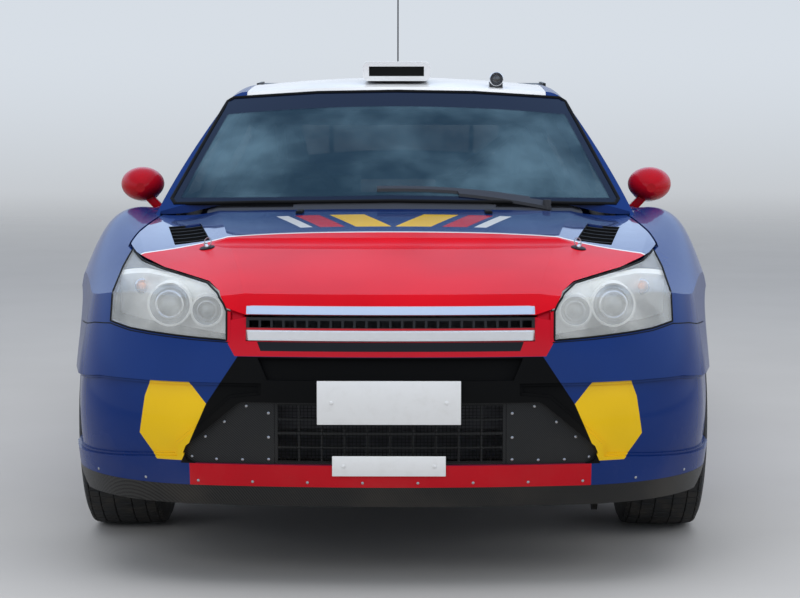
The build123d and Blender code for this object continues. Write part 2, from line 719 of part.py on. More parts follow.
def tail_glass_region(inset):
    plane = Plane(origin=(0, 1950, 0), x_dir=(1, 0, 0), z_dir=(0, -1, 0))
    face = outline_face(plane, half_outline(TAIL_GLASS), 0)
    if inset:
        face = offset(face, -inset, kind=Kind.INTERSECTION)
    return extrude(face, -400)


def make_tailgate():
    gate = shell & tailgate_region(0)
    gate -= rear_glass_region(0)
    gate -= tail_glass_region(0)
    x, y, z = TAILGATE_HINGE_X, TAILGATE_FRONT_Y, TAILGATE_HINGE_Z
    gate -= both(lid_clearance(x, y, z, 4))
    arm = block(x - 10, x + 10, y, y + 24, z - 14, z - 2)
    arm -= cross_cylinder(x - 20, x + 20, y, z, LID_PIN_RADIUS + RUNNING_GAP)
    barrel = lid_barrel(x, y, z)
    return largest(gate + [arm, barrel, mirrored(arm), mirrored(barrel)])


def make_tailgate_glass():
    upper = cabin_glass_skin & rear_glass_region(SEAT_GAP)
    lower = (rear_volume() - rear_volume(GLASS)) & tail_glass_region(SEAT_GAP)
    return Compound(children=[largest(upper), largest(lower)])


def make_rear_bumper():
    bumper = (rear_volume() - rear_volume(PANEL)) & rear_bumper_region()
    bumper -= block(EXHAUST_TAIL_X - 50, EXHAUST_TAIL_X + 50, REAR_AXLE_Y, FAR, 100, EXHAUST_Z + EXHAUST_RADIUS + 20)
    return largest(bumper - rear_arch)


def make_tail_lamps():
    lamp = (rear_volume() - rear_volume(SIDE_WALL)) & tail_lamp_region(SEAT_GAP)
    return pair(largest(lamp))


# Nose openings

GRILLE_BAR_HEIGHT = 22
MESH_WIRE = 6
MESH_COLUMNS = 10
MESH_ROWS = 4
GRILLE_COLUMNS = 24


def nose_band(row, outer, inner, z0, z1):
    """Upright plate that follows the nose in plan, between two insets and two heights."""
    back_y = FRONT_AXLE_Y + 100
    wires = [plan_outline(z0, NOSE_Y, row[1:], inset, back_y) for inset in (outer, inner)]
    return extrude(make_face(wires[0]), z1 - z0) - extrude(make_face(wires[1]), z1 - z0)


def plate(skin, outline, inset=SEAT_GAP):
    return skin & extrude(front_face(half_outline(outline), inset), -(FAR - 1700))


def pierced(panel, half, low, high, columns, rows, wire):
    """The panel with a grid of square holes between -half and half, low and high."""
    pitch_x, pitch_z = 2 * half / columns, (high - low) / rows
    holes = []
    for column in range(columns):
        for row in range(rows):
            x, z = -half + (column + 0.5) * pitch_x, low + (row + 0.5) * pitch_z
            holes.append(block(x - (pitch_x - wire) / 2, x + (pitch_x - wire) / 2, -FAR, -1700,
                               z - (pitch_z - wire) / 2, z + (pitch_z - wire) / 2))
    return panel - holes


def make_grille():
    """A pierced frame and the lower of the two bright bars; the upper one is on the bonnet."""
    half, low, high = GRILLE[1][0], GRILLE[1][1], GRILLE[2][1]
    row = NOSE_OUTLINES[3]
    frame = plate(nose_band(row, PANEL - 12, PANEL - 2, low, high), GRILLE)
    frame = pierced(frame, half - 5, low + 30, high - 4, GRILLE_COLUMNS, 1, MESH_WIRE)
    bar_top = low + 2 + GRILLE_BAR_HEIGHT
    bar = plate(nose_band(row, 4, PANEL - 12, low, high),
                [(0, low + 2), (half - 6, low + 2), (half - 6, bar_top), (0, bar_top)], 0)
    return largest(frame + bar)


def make_intake_grille():
    """Woven side panels, one solid each, and an open mesh between them."""
    low, high = INTAKE[0][1], INTAKE[-1][1]
    row = NOSE_OUTLINES[1]
    sides = plate(nose_band(row, 9, 15, low, high), INTAKE)
    sides -= block(-INTAKE_SPLIT_X, INTAKE_SPLIT_X, -FAR, 0, 0, 900)
    half = INTAKE_SPLIT_X - SEAT_GAP
    mesh = plate(nose_band(row, 11, 19, low, high), [(0, low), (half, low), (half, high), (0, high)])
    mesh = pierced(mesh, half - 6, low + 6, high - 6, MESH_COLUMNS, MESH_ROWS, MESH_WIRE)
    return Compound(children=sides.solids() + mesh.solids())


# Running gear

KINGPIN_LOW = (664, 205)
KINGPIN_HIGH = (566, 800)
KINGPIN_RADIUS = 8
STEER_ARM = 120
RACK_Z = 292
DAMPER_RADIUS = 24
SPRING_RADIUS = 48
FLOOR_Z = RIDE_HEIGHT
FLOOR_WALL = 6
FLOOR_BASE_Z = FLOOR_Z + SIDE_WALL * 0.2 + SEAT_GAP
RAIL_X = (396, 446)
RAIL_Z = (380, 470)
FIREWALL_Y = -905
EXHAUST_RADIUS = 30
EXHAUST_Z = 206
TUNNEL = (130, 160, 8)
HUB_RADIUS = 70
ENGINE_X = (-310, 330)
BOOT_FLOOR_Z = 420
BULKHEAD_Y = 1000
DASH_HALF = 540
REAR_DAMPER_TOP = (566, 800)


def make_wheel(axle_y):
    """Rim, spokes, hub and brake disc as one turned and pierced solid, left side."""
    mid = TRACK_HALF
    half = RIM_WIDTH / 2
    barrel = [
        (mid - half, RIM_RADIUS), (mid - half, RIM_RADIUS - RIM_WALL),
        (mid - 40, RIM_RADIUS - 26), (mid + 50, RIM_RADIUS - 26), (mid + half, RIM_RADIUS - RIM_WALL),
        (mid + half, RIM_RADIUS), (mid + 50, RIM_RADIUS - 14), (mid - 40, RIM_RADIUS - 14),
    ]
    rim = turned(barrel, axle_y)
    face = mid + 62
    spokes = []
    for index in range(SPOKE_COUNT):
        angle = index * 360 / SPOKE_COUNT
        profile = [(face - 30, 40), (face - 6, 40), (face + 8, 120), (face + 4, RIM_RADIUS - 20),
                   (face - 24, RIM_RADIUS - 18), (face - 26, 120)]
        blade = extrude(outline_face(Plane.XZ, [(x, r) for x, r in profile], 0), 15, both=True)
        spokes.append(Pos(0, axle_y, TYRE_RADIUS) * Rot(angle, 0, 0) * blade)
    hub = cross_cylinder(mid - 66, face + 2, axle_y, TYRE_RADIUS, HUB_RADIUS)
    disc = cross_cylinder(mid - 66, mid - 66 + DISC_THICKNESS, axle_y, TYRE_RADIUS, DISC_RADIUS)
    wheel = rim + spokes + [hub, disc]
    wheel -= cross_cylinder(mid - 100, face - 12, axle_y, TYRE_RADIUS, HUB_BORE_RADIUS)
    return largest(wheel)


def turned(profile, axle_y):
    """Profile in (x, radius) turned about the wheel's axis."""
    face = outline_face(Plane.XZ, profile, 0)
    ring = revolve(face, Axis.X, 360)
    return Pos(0, axle_y, TYRE_RADIUS) * ring


def make_tyre(axle_y):
    mid, half = TRACK_HALF, TYRE_WIDTH / 2
    bead = RIM_RADIUS + SEAT_GAP
    ring = turned([
        (mid - half + 12, bead), (mid - half + 3, bead + 12), (mid - half, bead + 32),
        (mid - half, TYRE_RADIUS - 30), (mid - half + 5, TYRE_RADIUS - 16), (mid - half + 18, TYRE_RADIUS),
        (mid + half - 18, TYRE_RADIUS), (mid + half - 5, TYRE_RADIUS - 16), (mid + half, TYRE_RADIUS - 30),
        (mid + half, bead + 32), (mid + half - 3, bead + 12), (mid + half - 12, bead)], axle_y)
    inner = turned([(mid - half + 26, bead - 1), (mid - half + 14, TYRE_RADIUS - 40), (mid - half + 30, TYRE_RADIUS - 14),
                    (mid + half - 30, TYRE_RADIUS - 14), (mid + half - 14, TYRE_RADIUS - 40),
                    (mid + half - 26, bead - 1)], axle_y)
    return largest(ring - inner)


def kingpin_x(z):
    share = (z - KINGPIN_LOW[1]) / (KINGPIN_HIGH[1] - KINGPIN_LOW[1])
    return KINGPIN_LOW[0] + share * (KINGPIN_HIGH[0] - KINGPIN_LOW[0])


def make_caliper(y, z, inner, side):
    """Caliper that straddles the disc, ahead of the axle for side -1 and behind it for side 1."""
    near, far = y + side * 118, y + side * (DISC_RADIUS + 18)
    caliper = block(inner - 40, inner + DISC_THICKNESS + 30, min(near, far), max(near, far), z - 50, z + 50)
    slot_near, slot_far = y + side * 117, y + side * (DISC_RADIUS + 6)
    return caliper - block(inner - 6, inner + DISC_THICKNESS + 6, min(slot_near, slot_far),
                           max(slot_near, slot_far), z - 60, z + 60)


def make_knuckle():
    """Left upright: spindle, body, brake caliper, steering arm and its damper leg."""
    y, z = FRONT_AXLE_Y, TYRE_RADIUS
    inner = TRACK_HALF - 66
    body = block(inner - 50, inner - 8, y - 36, y + 36, KINGPIN_LOW[1] + 14, z + 78)
    spindle = cross_cylinder(inner - 12, TRACK_HALF + 46, y, z, SPINDLE_RADIUS)
    leg = rod((kingpin_x(z + 60) - 22, y, z + 60), (KINGPIN_HIGH[0], y, KINGPIN_HIGH[1] - 30), DAMPER_RADIUS)
    spring = rod((kingpin_x(672) - 6, y, 672), (KINGPIN_HIGH[0] + 4, y, KINGPIN_HIGH[1] - 36), SPRING_RADIUS)
    clamp = block(kingpin_x(z + 60) - 60, inner - 20, y - 30, y + 30, z + 50, z + 92)
    caliper = make_caliper(y, z, inner, -1)
    bridge = block(inner - 40, inner - 12, y - 130, y - 20, z - 30, z + 30)
    arm_end = (kingpin_x(RACK_Z) - 14, y + STEER_ARM)
    arm = bent_bar([(inner - 40, y + 20), arm_end], 26, RACK_Z - 10, RACK_Z + 14)
    pin = Pos(arm_end[0], arm_end[1], RACK_Z - 20) * Cylinder(8, 36)
    boss = Pos(arm_end[0], arm_end[1], RACK_Z + 2) * Cylinder(18, 24)
    knuckle = body + [spindle, leg, spring, clamp, caliper, bridge, arm, pin, boss]
    low_z = KINGPIN_LOW[1]
    bore = rod((kingpin_x(low_z), y, low_z), (kingpin_x(low_z + 46), y, low_z + 46), KINGPIN_RADIUS + RUNNING_GAP)
    return largest(knuckle - bore)


def bent_bar(points, width, z0, z1):
    """Flat bar of a given width between two points in plan."""
    (x0, y0), (x1, y1) = points
    length = math.hypot(x1 - x0, y1 - y0)
    nx, ny = (y1 - y0) / length * width / 2, -(x1 - x0) / length * width / 2
    return top_prism([(x0 + nx, y0 + ny), (x1 + nx, y1 + ny), (x1 - nx, y1 - ny), (x0 - nx, y0 - ny)], z0, z1)


def make_steering_rack():
    """Rack bar and its two track rods, which end in open forks at the steering arms' pins."""
    y = FRONT_AXLE_Y + STEER_ARM
    end_x = kingpin_x(RACK_Z) - 14
    z = RACK_Z - 28
    bar = cross_cylinder(-360, 360, y, z, 12)
    left = cross_cylinder(340, end_x - 30, y, z, 9)
    fork = block(end_x - 32, end_x + 24, y - 34, y + 20, z - 9, z + 4)
    fork -= block(end_x - 13, end_x + 13, y - 60, y + 13, z - 10, z + 10)
    return largest(both(left + fork) + bar)


def make_front_frame():
    """Rails, crossmember, bumper beam, strut towers, arms and the rack's housing."""
    y = FRONT_AXLE_Y
    front_y = NOSE_Y + 150
    rail = block(*RAIL_X, front_y, FIREWALL_Y, *RAIL_Z)
    drop = block(RAIL_X[0], RAIL_X[1], y - 130, y + 190, 235, RAIL_Z[0] + 1)
    tower_z = KINGPIN_HIGH[1]
    tower = block(500, 640, y - 75, y + 75, tower_z - 22, tower_z - 8)
    tower -= Pos(KINGPIN_HIGH[0], y, tower_z) * Cylinder(DAMPER_RADIUS + 6, 120)
    wall = block(RAIL_X[0] + 20, 500, y - 75, y + 75, RAIL_Z[1] - 1, tower_z - 8)
    wall -= block(RAIL_X[0], 494, y - 69, y + 69, RAIL_Z[1] + 8, tower_z - 28)
    low_x, low_z = KINGPIN_LOW
    arm = top_prism([(RAIL_X[0] - 4, y - 120), (RAIL_X[0] - 4, y + 60), (low_x - 20, y + 24), (low_x + 8, y),
                     (low_x - 20, y - 24)], low_z - 8, low_z + 8)
    arm += block(RAIL_X[0] - 4, RAIL_X[1], y - 120, y + 60, low_z - 8, 240)
    drop -= cross_cylinder(RAIL_X[0] - 10, RAIL_X[1] + 10, y + STEER_ARM, RACK_Z - 28, 16)
    arm += rod((kingpin_x(low_z), y, low_z), (kingpin_x(low_z + 44), y, low_z + 44), KINGPIN_RADIUS)
    side = rail + [drop, tower, wall, arm]
    beam = block(-RAIL_X[1], RAIL_X[1], front_y, front_y + 60, RAIL_Z[0] + 8, RAIL_Z[1] - 8)
    cross = block(-RAIL_X[1], RAIL_X[1], y - 60, y + 50, 236, 262)
    housing = cross_cylinder(-330, 330, y + STEER_ARM, RACK_Z - 28, 26)
    housing -= cross_cylinder(-400, 400, y + STEER_ARM, RACK_Z - 28, 12.05)
    mounts = [block(s * 300 - 20, s * 300 + 20, y + 40, y + STEER_ARM - 20, 240, 262) for s in (-1, 1)]
    mount_y = FRONT_AXLE_Y - 330
    mounts.append(block(ENGINE_X[1] + SEAT_GAP, RAIL_X[0] + 1, mount_y, mount_y + 60, RAIL_Z[0] + 10, RAIL_Z[1] - 10))
    mounts.append(block(-RAIL_X[0] - 1, ENGINE_X[0] - SEAT_GAP, mount_y, mount_y + 60, RAIL_Z[0] + 10, RAIL_Z[1] - 10))
    frame = both(side) + [beam, cross, housing] + mounts
    return largest(frame)


def make_engine_block():
    return block(*ENGINE_X, FRONT_AXLE_Y - 520, FRONT_AXLE_Y - 70, 270, 760)


def make_rear_frame():
    """Crossmember, trailing uprights with fixed spindles, arms and dampers."""
    y, z = REAR_AXLE_Y, TYRE_RADIUS
    inner = TRACK_HALF - 66
    upright = block(inner - 50, inner - 8, y - 40, y + 40, 225, z + 70)
    spindle = cross_cylinder(inner - 12, TRACK_HALF + 46, y, z, SPINDLE_RADIUS)
    arms = [block(400, inner - 45, y - 34, y - 6, 248, 266), block(400, inner - 45, y + 6, y + 34, z + 30, z + 48)]
    damper = rod((inner - 62, y + 20, 300), (REAR_DAMPER_TOP[0], y + 20, REAR_DAMPER_TOP[1]), DAMPER_RADIUS)
    foot = block(inner - 90, inner - 45, y - 4, y + 34, 285, 315)
    caliper = make_caliper(y, z, inner, 1)
    bridge = block(inner - 40, inner - 12, y + 20, y + 130, z - 30, z + 30)
    side = upright + [spindle, damper, foot, caliper, bridge] + arms
    beam = block(-420, 420, y - 60, y + 60, EXHAUST_Z + EXHAUST_RADIUS + 12, BOOT_FLOOR_Z - SEAT_GAP)
    beam -= block(-380, 380, y - 50, y + 50, EXHAUST_Z + EXHAUST_RADIUS + 24, 500)
    return largest(both(side) + beam)


# Cabin

def make_floor_tub():
    """Floor, tunnel, firewall, bulkhead, boot floor and the turrets over the rear dampers."""
    inner = middle_volume(SIDE_WALL + SEAT_GAP) + rear_volume(SIDE_WALL + SEAT_GAP)
    inner += block(-700, 700, FIREWALL_Y - 1, FRONT_AXLE_Y + MIDDLE_RIBS[0][0] + 10, 100, 900)
    tunnel_half, tunnel_top, wall = TUNNEL
    z0 = FLOOR_BASE_Z
    half = 698
    tub = block(-half, half, FIREWALL_Y, BULKHEAD_Y, z0, z0 + FLOOR_WALL)
    tunnel = block(-tunnel_half, tunnel_half, FIREWALL_Y, BULKHEAD_Y, z0, z0 + tunnel_top)
    firewall = block(-half, half, FIREWALL_Y, FIREWALL_Y + 8, z0, 840)
    bulkhead = block(-half, half, BULKHEAD_Y, BULKHEAD_Y + 8, z0, 700)
    boot = block(-half, half, BULKHEAD_Y, TAIL_Y - 240, BOOT_FLOOR_Z, BOOT_FLOOR_Z + FLOOR_WALL)
    y, top_z = REAR_AXLE_Y, REAR_DAMPER_TOP[1]
    turret = block(490, 500, y - 60, y + 90, BOOT_FLOOR_Z, top_z + 16)
    turret += block(490, 630, y - 60, y + 90, top_z + SEAT_GAP + 4, top_z + 16)
    hollow = block(-tunnel_half + wall, tunnel_half - wall, FIREWALL_Y - 1, BULKHEAD_Y + 10, z0 - 1,
                   z0 + tunnel_top - wall)
    arches = [arch - block(-500, 500, -FAR, FAR, 0, 900) for arch in (rear_arch, front_arch)]
    tub = (tub + [tunnel, firewall, bulkhead, boot]) - [hollow] - arches
    return largest((tub & inner) + [turret, mirrored(turret)])


STEERING_WHEEL = (-342, -470, 860)
STEERING_WHEEL_RADIUS = 165
COLUMN_TILT = 22
COLUMN_RADIUS = 14
COLUMN_LENGTH = 110


def on_column(shape):
    return Pos(*STEERING_WHEEL) * Rot(-90 + COLUMN_TILT, 0, 0) * shape


def make_dashboard():
    section = [(-890, 800), (-890, 880), (-820, 925), (-640, 930), (-560, 900), (-545, 820), (-600, 760),
               (-800, 740)]
    board = side_prism(section, -DASH_HALF, DASH_HALF, [10, 20, 60, 30, 25, 25, 60, 60])
    boss = on_column(Pos(0, 0, -COLUMN_LENGTH) * Cylinder(COLUMN_RADIUS + 12, 80))
    bore = on_column(Pos(0, 0, -COLUMN_LENGTH) * Cylinder(COLUMN_RADIUS + RUNNING_GAP, 100))
    ends = block(-DASH_HALF, DASH_HALF, FIREWALL_Y + 8 + SEAT_GAP, -880, 800, 836)
    return largest(board + [boss, ends] - bore)


def make_steering_wheel():
    ring = Torus(STEERING_WHEEL_RADIUS, 15)
    hub = Cylinder(38, 24)
    spokes = [Rot(0, 0, a) * Pos(STEERING_WHEEL_RADIUS / 2, 0, 0) * Box(STEERING_WHEEL_RADIUS, 30, 6)
              for a in (0, 180, 270)]
    column = Pos(0, 0, -COLUMN_LENGTH / 2) * Cylinder(COLUMN_RADIUS, COLUMN_LENGTH)
    return largest(on_column(ring + [hub, column] + spokes))


SEAT_HALF = 208
SEAT_X = 342
SEAT_Y = 60


def make_seat(x):
    """Shell of a racing seat with tall wings, open to the front and above."""
    side = [(-300, 235), (150, 225), (320, 860), (250, 960), (160, 930), (60, 520), (-30, 430), (-290, 400)]
    body = side_prism([(SEAT_Y + y, z) for y, z in side], x - SEAT_HALF, x + SEAT_HALF, 40)
    hollow = [(-301, 300), (90, 285), (255, 900), (100, 1000), (-500, 1000), (-500, 300)]
    body -= side_prism([(SEAT_Y + y, z) for y, z in hollow], x - SEAT_HALF + SEAT_WALL + 16, x + SEAT_HALF - SEAT_WALL - 16, 30)
    rail = block(x - 200, x + 200, SEAT_Y - 200, SEAT_Y + 100, FLOOR_BASE_Z + FLOOR_WALL + SEAT_GAP, 240)
    rail -= block(x - 170, x + 170, SEAT_Y - 201, SEAT_Y + 101, 0, 241)
    return largest(body + rail)


HOOP_Y = 460


def make_roll_cage():
    """Main hoop, roof hoop, front legs, door bars, back stays and diagonals."""
    foot_z = FLOOR_BASE_Z + FLOOR_WALL + SEAT_GAP
    hoop_y = HOOP_Y
    hoop = bent_tube([(-640, hoop_y, foot_z), (-640, hoop_y, 840), (-470, hoop_y, 1160), (470, hoop_y, 1160),
                      (640, hoop_y, 840), (640, hoop_y, foot_z)], TUBE_RADIUS, 90)
    leg = bent_tube([(640, -760, foot_z), (640, -760, 830), (488, -330, 1158), (462, hoop_y + 4, 1158)],
                    TUBE_RADIUS - 1, 80)
    cross = cross_cylinder(-494, 494, -335, 1153, TUBE_RADIUS - 3)
    stay = rod((436, hoop_y + 2, 1152), (430, REAR_AXLE_Y - 60, 560), TUBE_RADIUS - 2)
    door_bars = [rod((641, -762, 300), (641, hoop_y + 2, 620), TUBE_RADIUS - 3),
                 rod((642, -761, 600), (642, hoop_y + 1, 300), TUBE_RADIUS - 4)]
    diagonal = rod((-612, hoop_y + 1, 300), (455, hoop_y + 1, 1140), TUBE_RADIUS - 3)
    cage = hoop + both(leg) + both(stay) + [cross, diagonal] + door_bars + [mirrored(b) for b in door_bars]
    return largest(cage)


# Fittings

def make_mirror():
    """Left mirror: a drop-shaped housing on a stalk from the door's front corner."""
    sections = [mirror_section(*row) for row in MIRROR_SECTIONS]
    housing = Solid.make_loft(sections)
    x, z = MIRROR_SECTIONS[0][1:3]
    glass_bed = Plane(origin=(x, MIRROR_SECTIONS[0][0], z), x_dir=(1, 0, 0), z_dir=(0, 1, 0))
    housing -= extrude(glass_bed * Ellipse(56, 41), -8)
    stalk = bent_box((728, -655, 872), (778, -662, 925), 26, 34)
    mirror_head = housing + stalk
    return largest(mirror_head - [middle_volume(-SEAT_GAP), cabin_volume(-SEAT_GAP)])


# Ellipses of the left mirror. Columns: y, middle x and z, half width, half height.
MIRROR_SECTIONS = [
    (-588, 793, 955, 63, 47),
    (-620, 793, 955, 67, 52),
    (-665, 791, 953, 60, 49),
    (-705, 789, 949, 38, 34),
    (-722, 788, 946, 14, 14),
]


def mirror_section(y, x, z, half_width, half_height):
    plane = Plane(origin=(x, y, z), x_dir=(1, 0, 0), z_dir=(0, -1, 0))
    return (plane * Ellipse(half_width, half_height)).wires()[0]


def front_section(x, z, half_width, half_height, y):
    plane = Plane(origin=(x, y, z), x_dir=(1, 0, 0), z_dir=(0, -1, 0))
    return plane * RectangleRounded(2 * half_width, 2 * half_height, min(half_width, half_height) * 0.6)


def bent_box(start, end, width, depth):
    start, end = Vector(*start), Vector(*end)
    plane = Plane(origin=start, x_dir=(0, 1, 0), z_dir=end - start)
    return extrude(plane * RectangleRounded(depth, width, 8), (end - start).length + 6)


# Rounded boxes of the roof scoop. Columns: y, middle z, half width, half height.
SCOOP_SECTIONS = [
    (-412, 1308, 108, 31),
    (-260, 1308, 106, 31),
    (-80, 1294, 84, 26),
    (80, 1272, 60, 22),
]


def make_roof_scoop():
    """Air scoop: a rounded mouth that fades into the roof behind it."""
    sections = [front_section(0, z, half_width, half_height, y) for y, z, half_width, half_height in SCOOP_SECTIONS]
    scoop = loft(sections)
    mouth = [front_section(0, 1308, 88, 15, y) for y in (-420, -340)]
    scoop -= loft(mouth)
    return largest(scoop - cabin_volume(-SEAT_GAP))


def make_roof_camera():
    """Small camera on a foot, with its barrel pointing forwards."""
    foot = block(300, 342, -400, -320, 1236, 1276)
    barrel = long_cylinder(321, -425, -310, 1283, 19)
    return largest((foot + barrel) - cabin_volume(-SEAT_GAP))


def make_antenna():
    base_z = 1293
    mast = rod((0, 140, base_z), (0, 190, base_z + 420), 2.5)
    foot = Pos(0, 140, base_z + 5) * Cylinder(16, 14)
    return largest((foot + mast) - cabin_volume(-SEAT_GAP))


WIPER_PIVOT = (450, -1008)
WIPER_BLADE = [(-52, -1001), (400, -1001), (400, -989), (-52, -989)]
WIPER_ARM = [(462, -1019), (190, -1012), (186, -1000), (452, -994)]
WIPER_HEIGHT = 14


def make_wiper():
    """Blade that lies on the glass, its tapered arm, and the pivot that stands on the scuttle."""
    layer = cabin_volume(-WIPER_HEIGHT) - cabin_volume(-SEAT_GAP)
    wiper = layer & (top_prism(WIPER_BLADE, 800, 1100) + top_prism(WIPER_ARM, 800, 1100))
    pivot = Pos(*WIPER_PIVOT, 900) * Cylinder(12, 44)
    return largest(wiper + (pivot - cabin_volume(-SEAT_GAP)))


WING_Z = 1262


def make_rear_wing():
    profile = [(1790, WING_Z - 8), (1800, WING_Z + 12), (1900, WING_Z + 22), (2050, WING_Z + 34), (2052, WING_Z + 26),
               (1900, WING_Z - 2)]
    blade = side_prism(profile, -600, 600)
    plates = [side_prism([(1770, WING_Z - 90), (1770, WING_Z + 30), (2075, WING_Z + 40), (2075, WING_Z - 60)],
                         s * 606 - 6, s * 606 + 6) for s in (-1, 1)]
    struts = [side_prism([(1840, 940), (1830, WING_Z + 6), (1960, WING_Z + 10), (1985, 930)], s * 300 - 8, s * 300 + 8)
              for s in (-1, 1)]
    wing = blade + plates + struts
    return largest(wing - shell_outer_grown())


def shell_outer_grown():
    return cabin_volume(-SEAT_GAP) + rear_volume(-SEAT_GAP)


EXHAUST_TAIL_X = -160


def make_exhaust():
    """Pipe in the tunnel and under the rear beam, with a hanger to the tunnel's roof."""
    tunnel_z = 262
    pipe = bent_tube([(0, FIREWALL_Y - 10, tunnel_z), (0, 900, tunnel_z), (EXHAUST_TAIL_X, 1150, EXHAUST_Z),
                      (EXHAUST_TAIL_X, 1600, EXHAUST_Z), (EXHAUST_TAIL_X, TAIL_Y - 40, EXHAUST_Z + 6)],
                     EXHAUST_RADIUS, 120)
    roof_z = FLOOR_BASE_Z + TUNNEL[1] - TUNNEL[2] - SEAT_GAP
    hangers = [block(-5, 5, y - 15, y + 15, tunnel_z + 10, roof_z) for y in (-500, 400)]
    return largest(pipe + hangers)


FLAP_DROP = 100


def make_mud_flaps():
    top_z = RIDE_HEIGHT - SEAT_GAP
    front_y = FENDER_END_Y - 80
    rear_y = REAR_AXLE_Y + ARCH_RADIUS + 6
    front = block(650, 850, front_y, front_y + 4, top_z - FLAP_DROP, top_z)
    rear = block(640, 850, rear_y, rear_y + 4, top_z - FLAP_DROP, top_z)
    return Compound(children=pair(front).solids() + pair(rear).solids())


TOW_EYE_RADIUS = 34
TOW_EYE_BORE = 22
TOW_EYE_WIDTH = 14
TOW_EYES = [(530, NOSE_Y + 357, SPLITTER_Z[0]), (-420, TAIL_Y - 130, RIDE_HEIGHT)]


def make_tow_eyes():
    """Ring under the splitter and ring under the tail, each with a foot against the panel."""
    eyes = []
    for x, y, top_z in TOW_EYES:
        z = top_z - SEAT_GAP - TOW_EYE_RADIUS
        ring = cross_cylinder(x - TOW_EYE_WIDTH / 2, x + TOW_EYE_WIDTH / 2, y, z, TOW_EYE_RADIUS)
        ring += block(x - 25, x + 25, y - 30, y + 30, top_z - SEAT_GAP - 5, top_z - SEAT_GAP)
        ring -= cross_cylinder(x - 30, x + 30, y, z, TOW_EYE_BORE)
        eyes += ring.solids()
    return Compound(children=eyes)


LEFT_AND_RIGHT = {
    "front_fender": make_front_fender,
    "bodyside": make_bodyside,
    "door": make_door,
    "door_glass": make_door_glass,
    "mirror": make_mirror,
    "knuckle": make_knuckle,
    "wheel_front": lambda: make_wheel(FRONT_AXLE_Y),
    "wheel_rear": lambda: make_wheel(REAR_AXLE_Y),
    "tyre_front": lambda: make_tyre(FRONT_AXLE_Y),
    "tyre_rear": lambda: make_tyre(REAR_AXLE_Y),
}

SINGLE = {
    "bonnet": make_bonnet,
    "front_bumper": make_front_bumper,
    "splitter": make_splitter,
    "grille": make_grille,
    "intake_grille": make_intake_grille,
    "headlamps": make_headlamps,
    "headlamp_lenses": make_headlamp_lenses,
    "roof_panel": make_roof_panel,
    "cowl": make_cowl,
    "windscreen": make_windscreen,
    "quarter_glass": make_quarter_glass,
    "tailgate": make_tailgate,
    "tailgate_glass": make_tailgate_glass,
    "rear_bumper": make_rear_bumper,
    "tail_lamps": make_tail_lamps,
    "floor_tub": make_floor_tub,
    "front_frame": make_front_frame,
    "rear_frame": make_rear_frame,
    "engine_block": make_engine_block,
    "steering_rack": make_steering_rack,
    "steering_wheel": make_steering_wheel,
    "dashboard": make_dashboard,
    "seat_left": lambda: make_seat(SEAT_X),
    "seat_right": lambda: make_seat(-SEAT_X),
    "roll_cage": make_roll_cage,
    "roof_scoop": make_roof_scoop,
    "roof_camera": make_roof_camera,
    "antenna": make_antenna,
    "wiper": make_wiper,
    "rear_wing": make_rear_wing,
    "exhaust": make_exhaust,
    "mud_flaps": make_mud_flaps,
    "tow_eyes": make_tow_eyes,
}


def main():
    for name, make in SINGLE.items():
        export_step(make(), f"parts/{name}.step")
    for name, make in LEFT_AND_RIGHT.items():
        left = make()
        export_step(left, f"parts/{name}_left.step")
        export_step(mirrored(left), f"parts/{name}_right.step")


main()
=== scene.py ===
import math

import bmesh
import bpy
from mathutils import Matrix, Vector
from mathutils.bvhtree import BVHTree


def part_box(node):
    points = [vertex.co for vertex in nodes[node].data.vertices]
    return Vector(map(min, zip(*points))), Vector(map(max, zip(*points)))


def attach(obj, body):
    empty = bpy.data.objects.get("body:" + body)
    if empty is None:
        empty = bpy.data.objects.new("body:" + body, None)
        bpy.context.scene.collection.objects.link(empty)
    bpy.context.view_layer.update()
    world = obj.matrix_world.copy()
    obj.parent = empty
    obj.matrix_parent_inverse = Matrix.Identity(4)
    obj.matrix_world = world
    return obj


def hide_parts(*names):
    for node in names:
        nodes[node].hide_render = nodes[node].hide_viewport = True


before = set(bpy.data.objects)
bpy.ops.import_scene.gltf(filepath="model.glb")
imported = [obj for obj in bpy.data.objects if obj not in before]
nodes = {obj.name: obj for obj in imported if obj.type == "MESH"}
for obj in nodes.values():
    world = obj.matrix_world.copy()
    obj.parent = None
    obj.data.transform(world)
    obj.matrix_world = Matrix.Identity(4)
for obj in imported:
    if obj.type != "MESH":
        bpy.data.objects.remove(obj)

# Rally car. Metres, the car faces -Y, its left side is +X and the ground is z = 0.

for left_over in ("Cube", "Light", "Camera"):
    if left_over in bpy.data.objects and left_over not in nodes:
        bpy.data.objects.remove(bpy.data.objects[left_over])
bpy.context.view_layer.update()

SIDES = {"left": 1, "right": -1}
FORWARD = Matrix.Rotation(math.radians(90), 4, "X")
REARWARD = Matrix.Rotation(math.radians(-90), 4, "X")
SIDEWAYS = Matrix.Rotation(math.radians(90), 4, "Y")

# Colours, in linear values
BLUE = (0.004, 0.026, 0.150)
RED = (0.52, 0.003, 0.012)
BONNET_RED = (0.63, 0.003, 0.012)
MIRROR_RED = (0.42, 0.004, 0.010)
YELLOW = (0.84, 0.52, 0.008)
WHITE = (0.74, 0.75, 0.76)
BLACK = (0.006, 0.006, 0.006)
DEEP_BLACK = (0.010, 0.010, 0.010)
MESH_BLACK = (0.005, 0.005, 0.005)
SUN_BAND = (0.003, 0.006, 0.020)
AMBER = (0.80, 0.24, 0.01)
BRIGHT = (0.92, 0.93, 0.95)
DUST = (0.20, 0.16, 0.115)

# Gloss paint
PAINT_COAT = 0.32
GLOSS = {"Coat_Roughness": 0.035, "Specular_IOR_Level": 0.02}

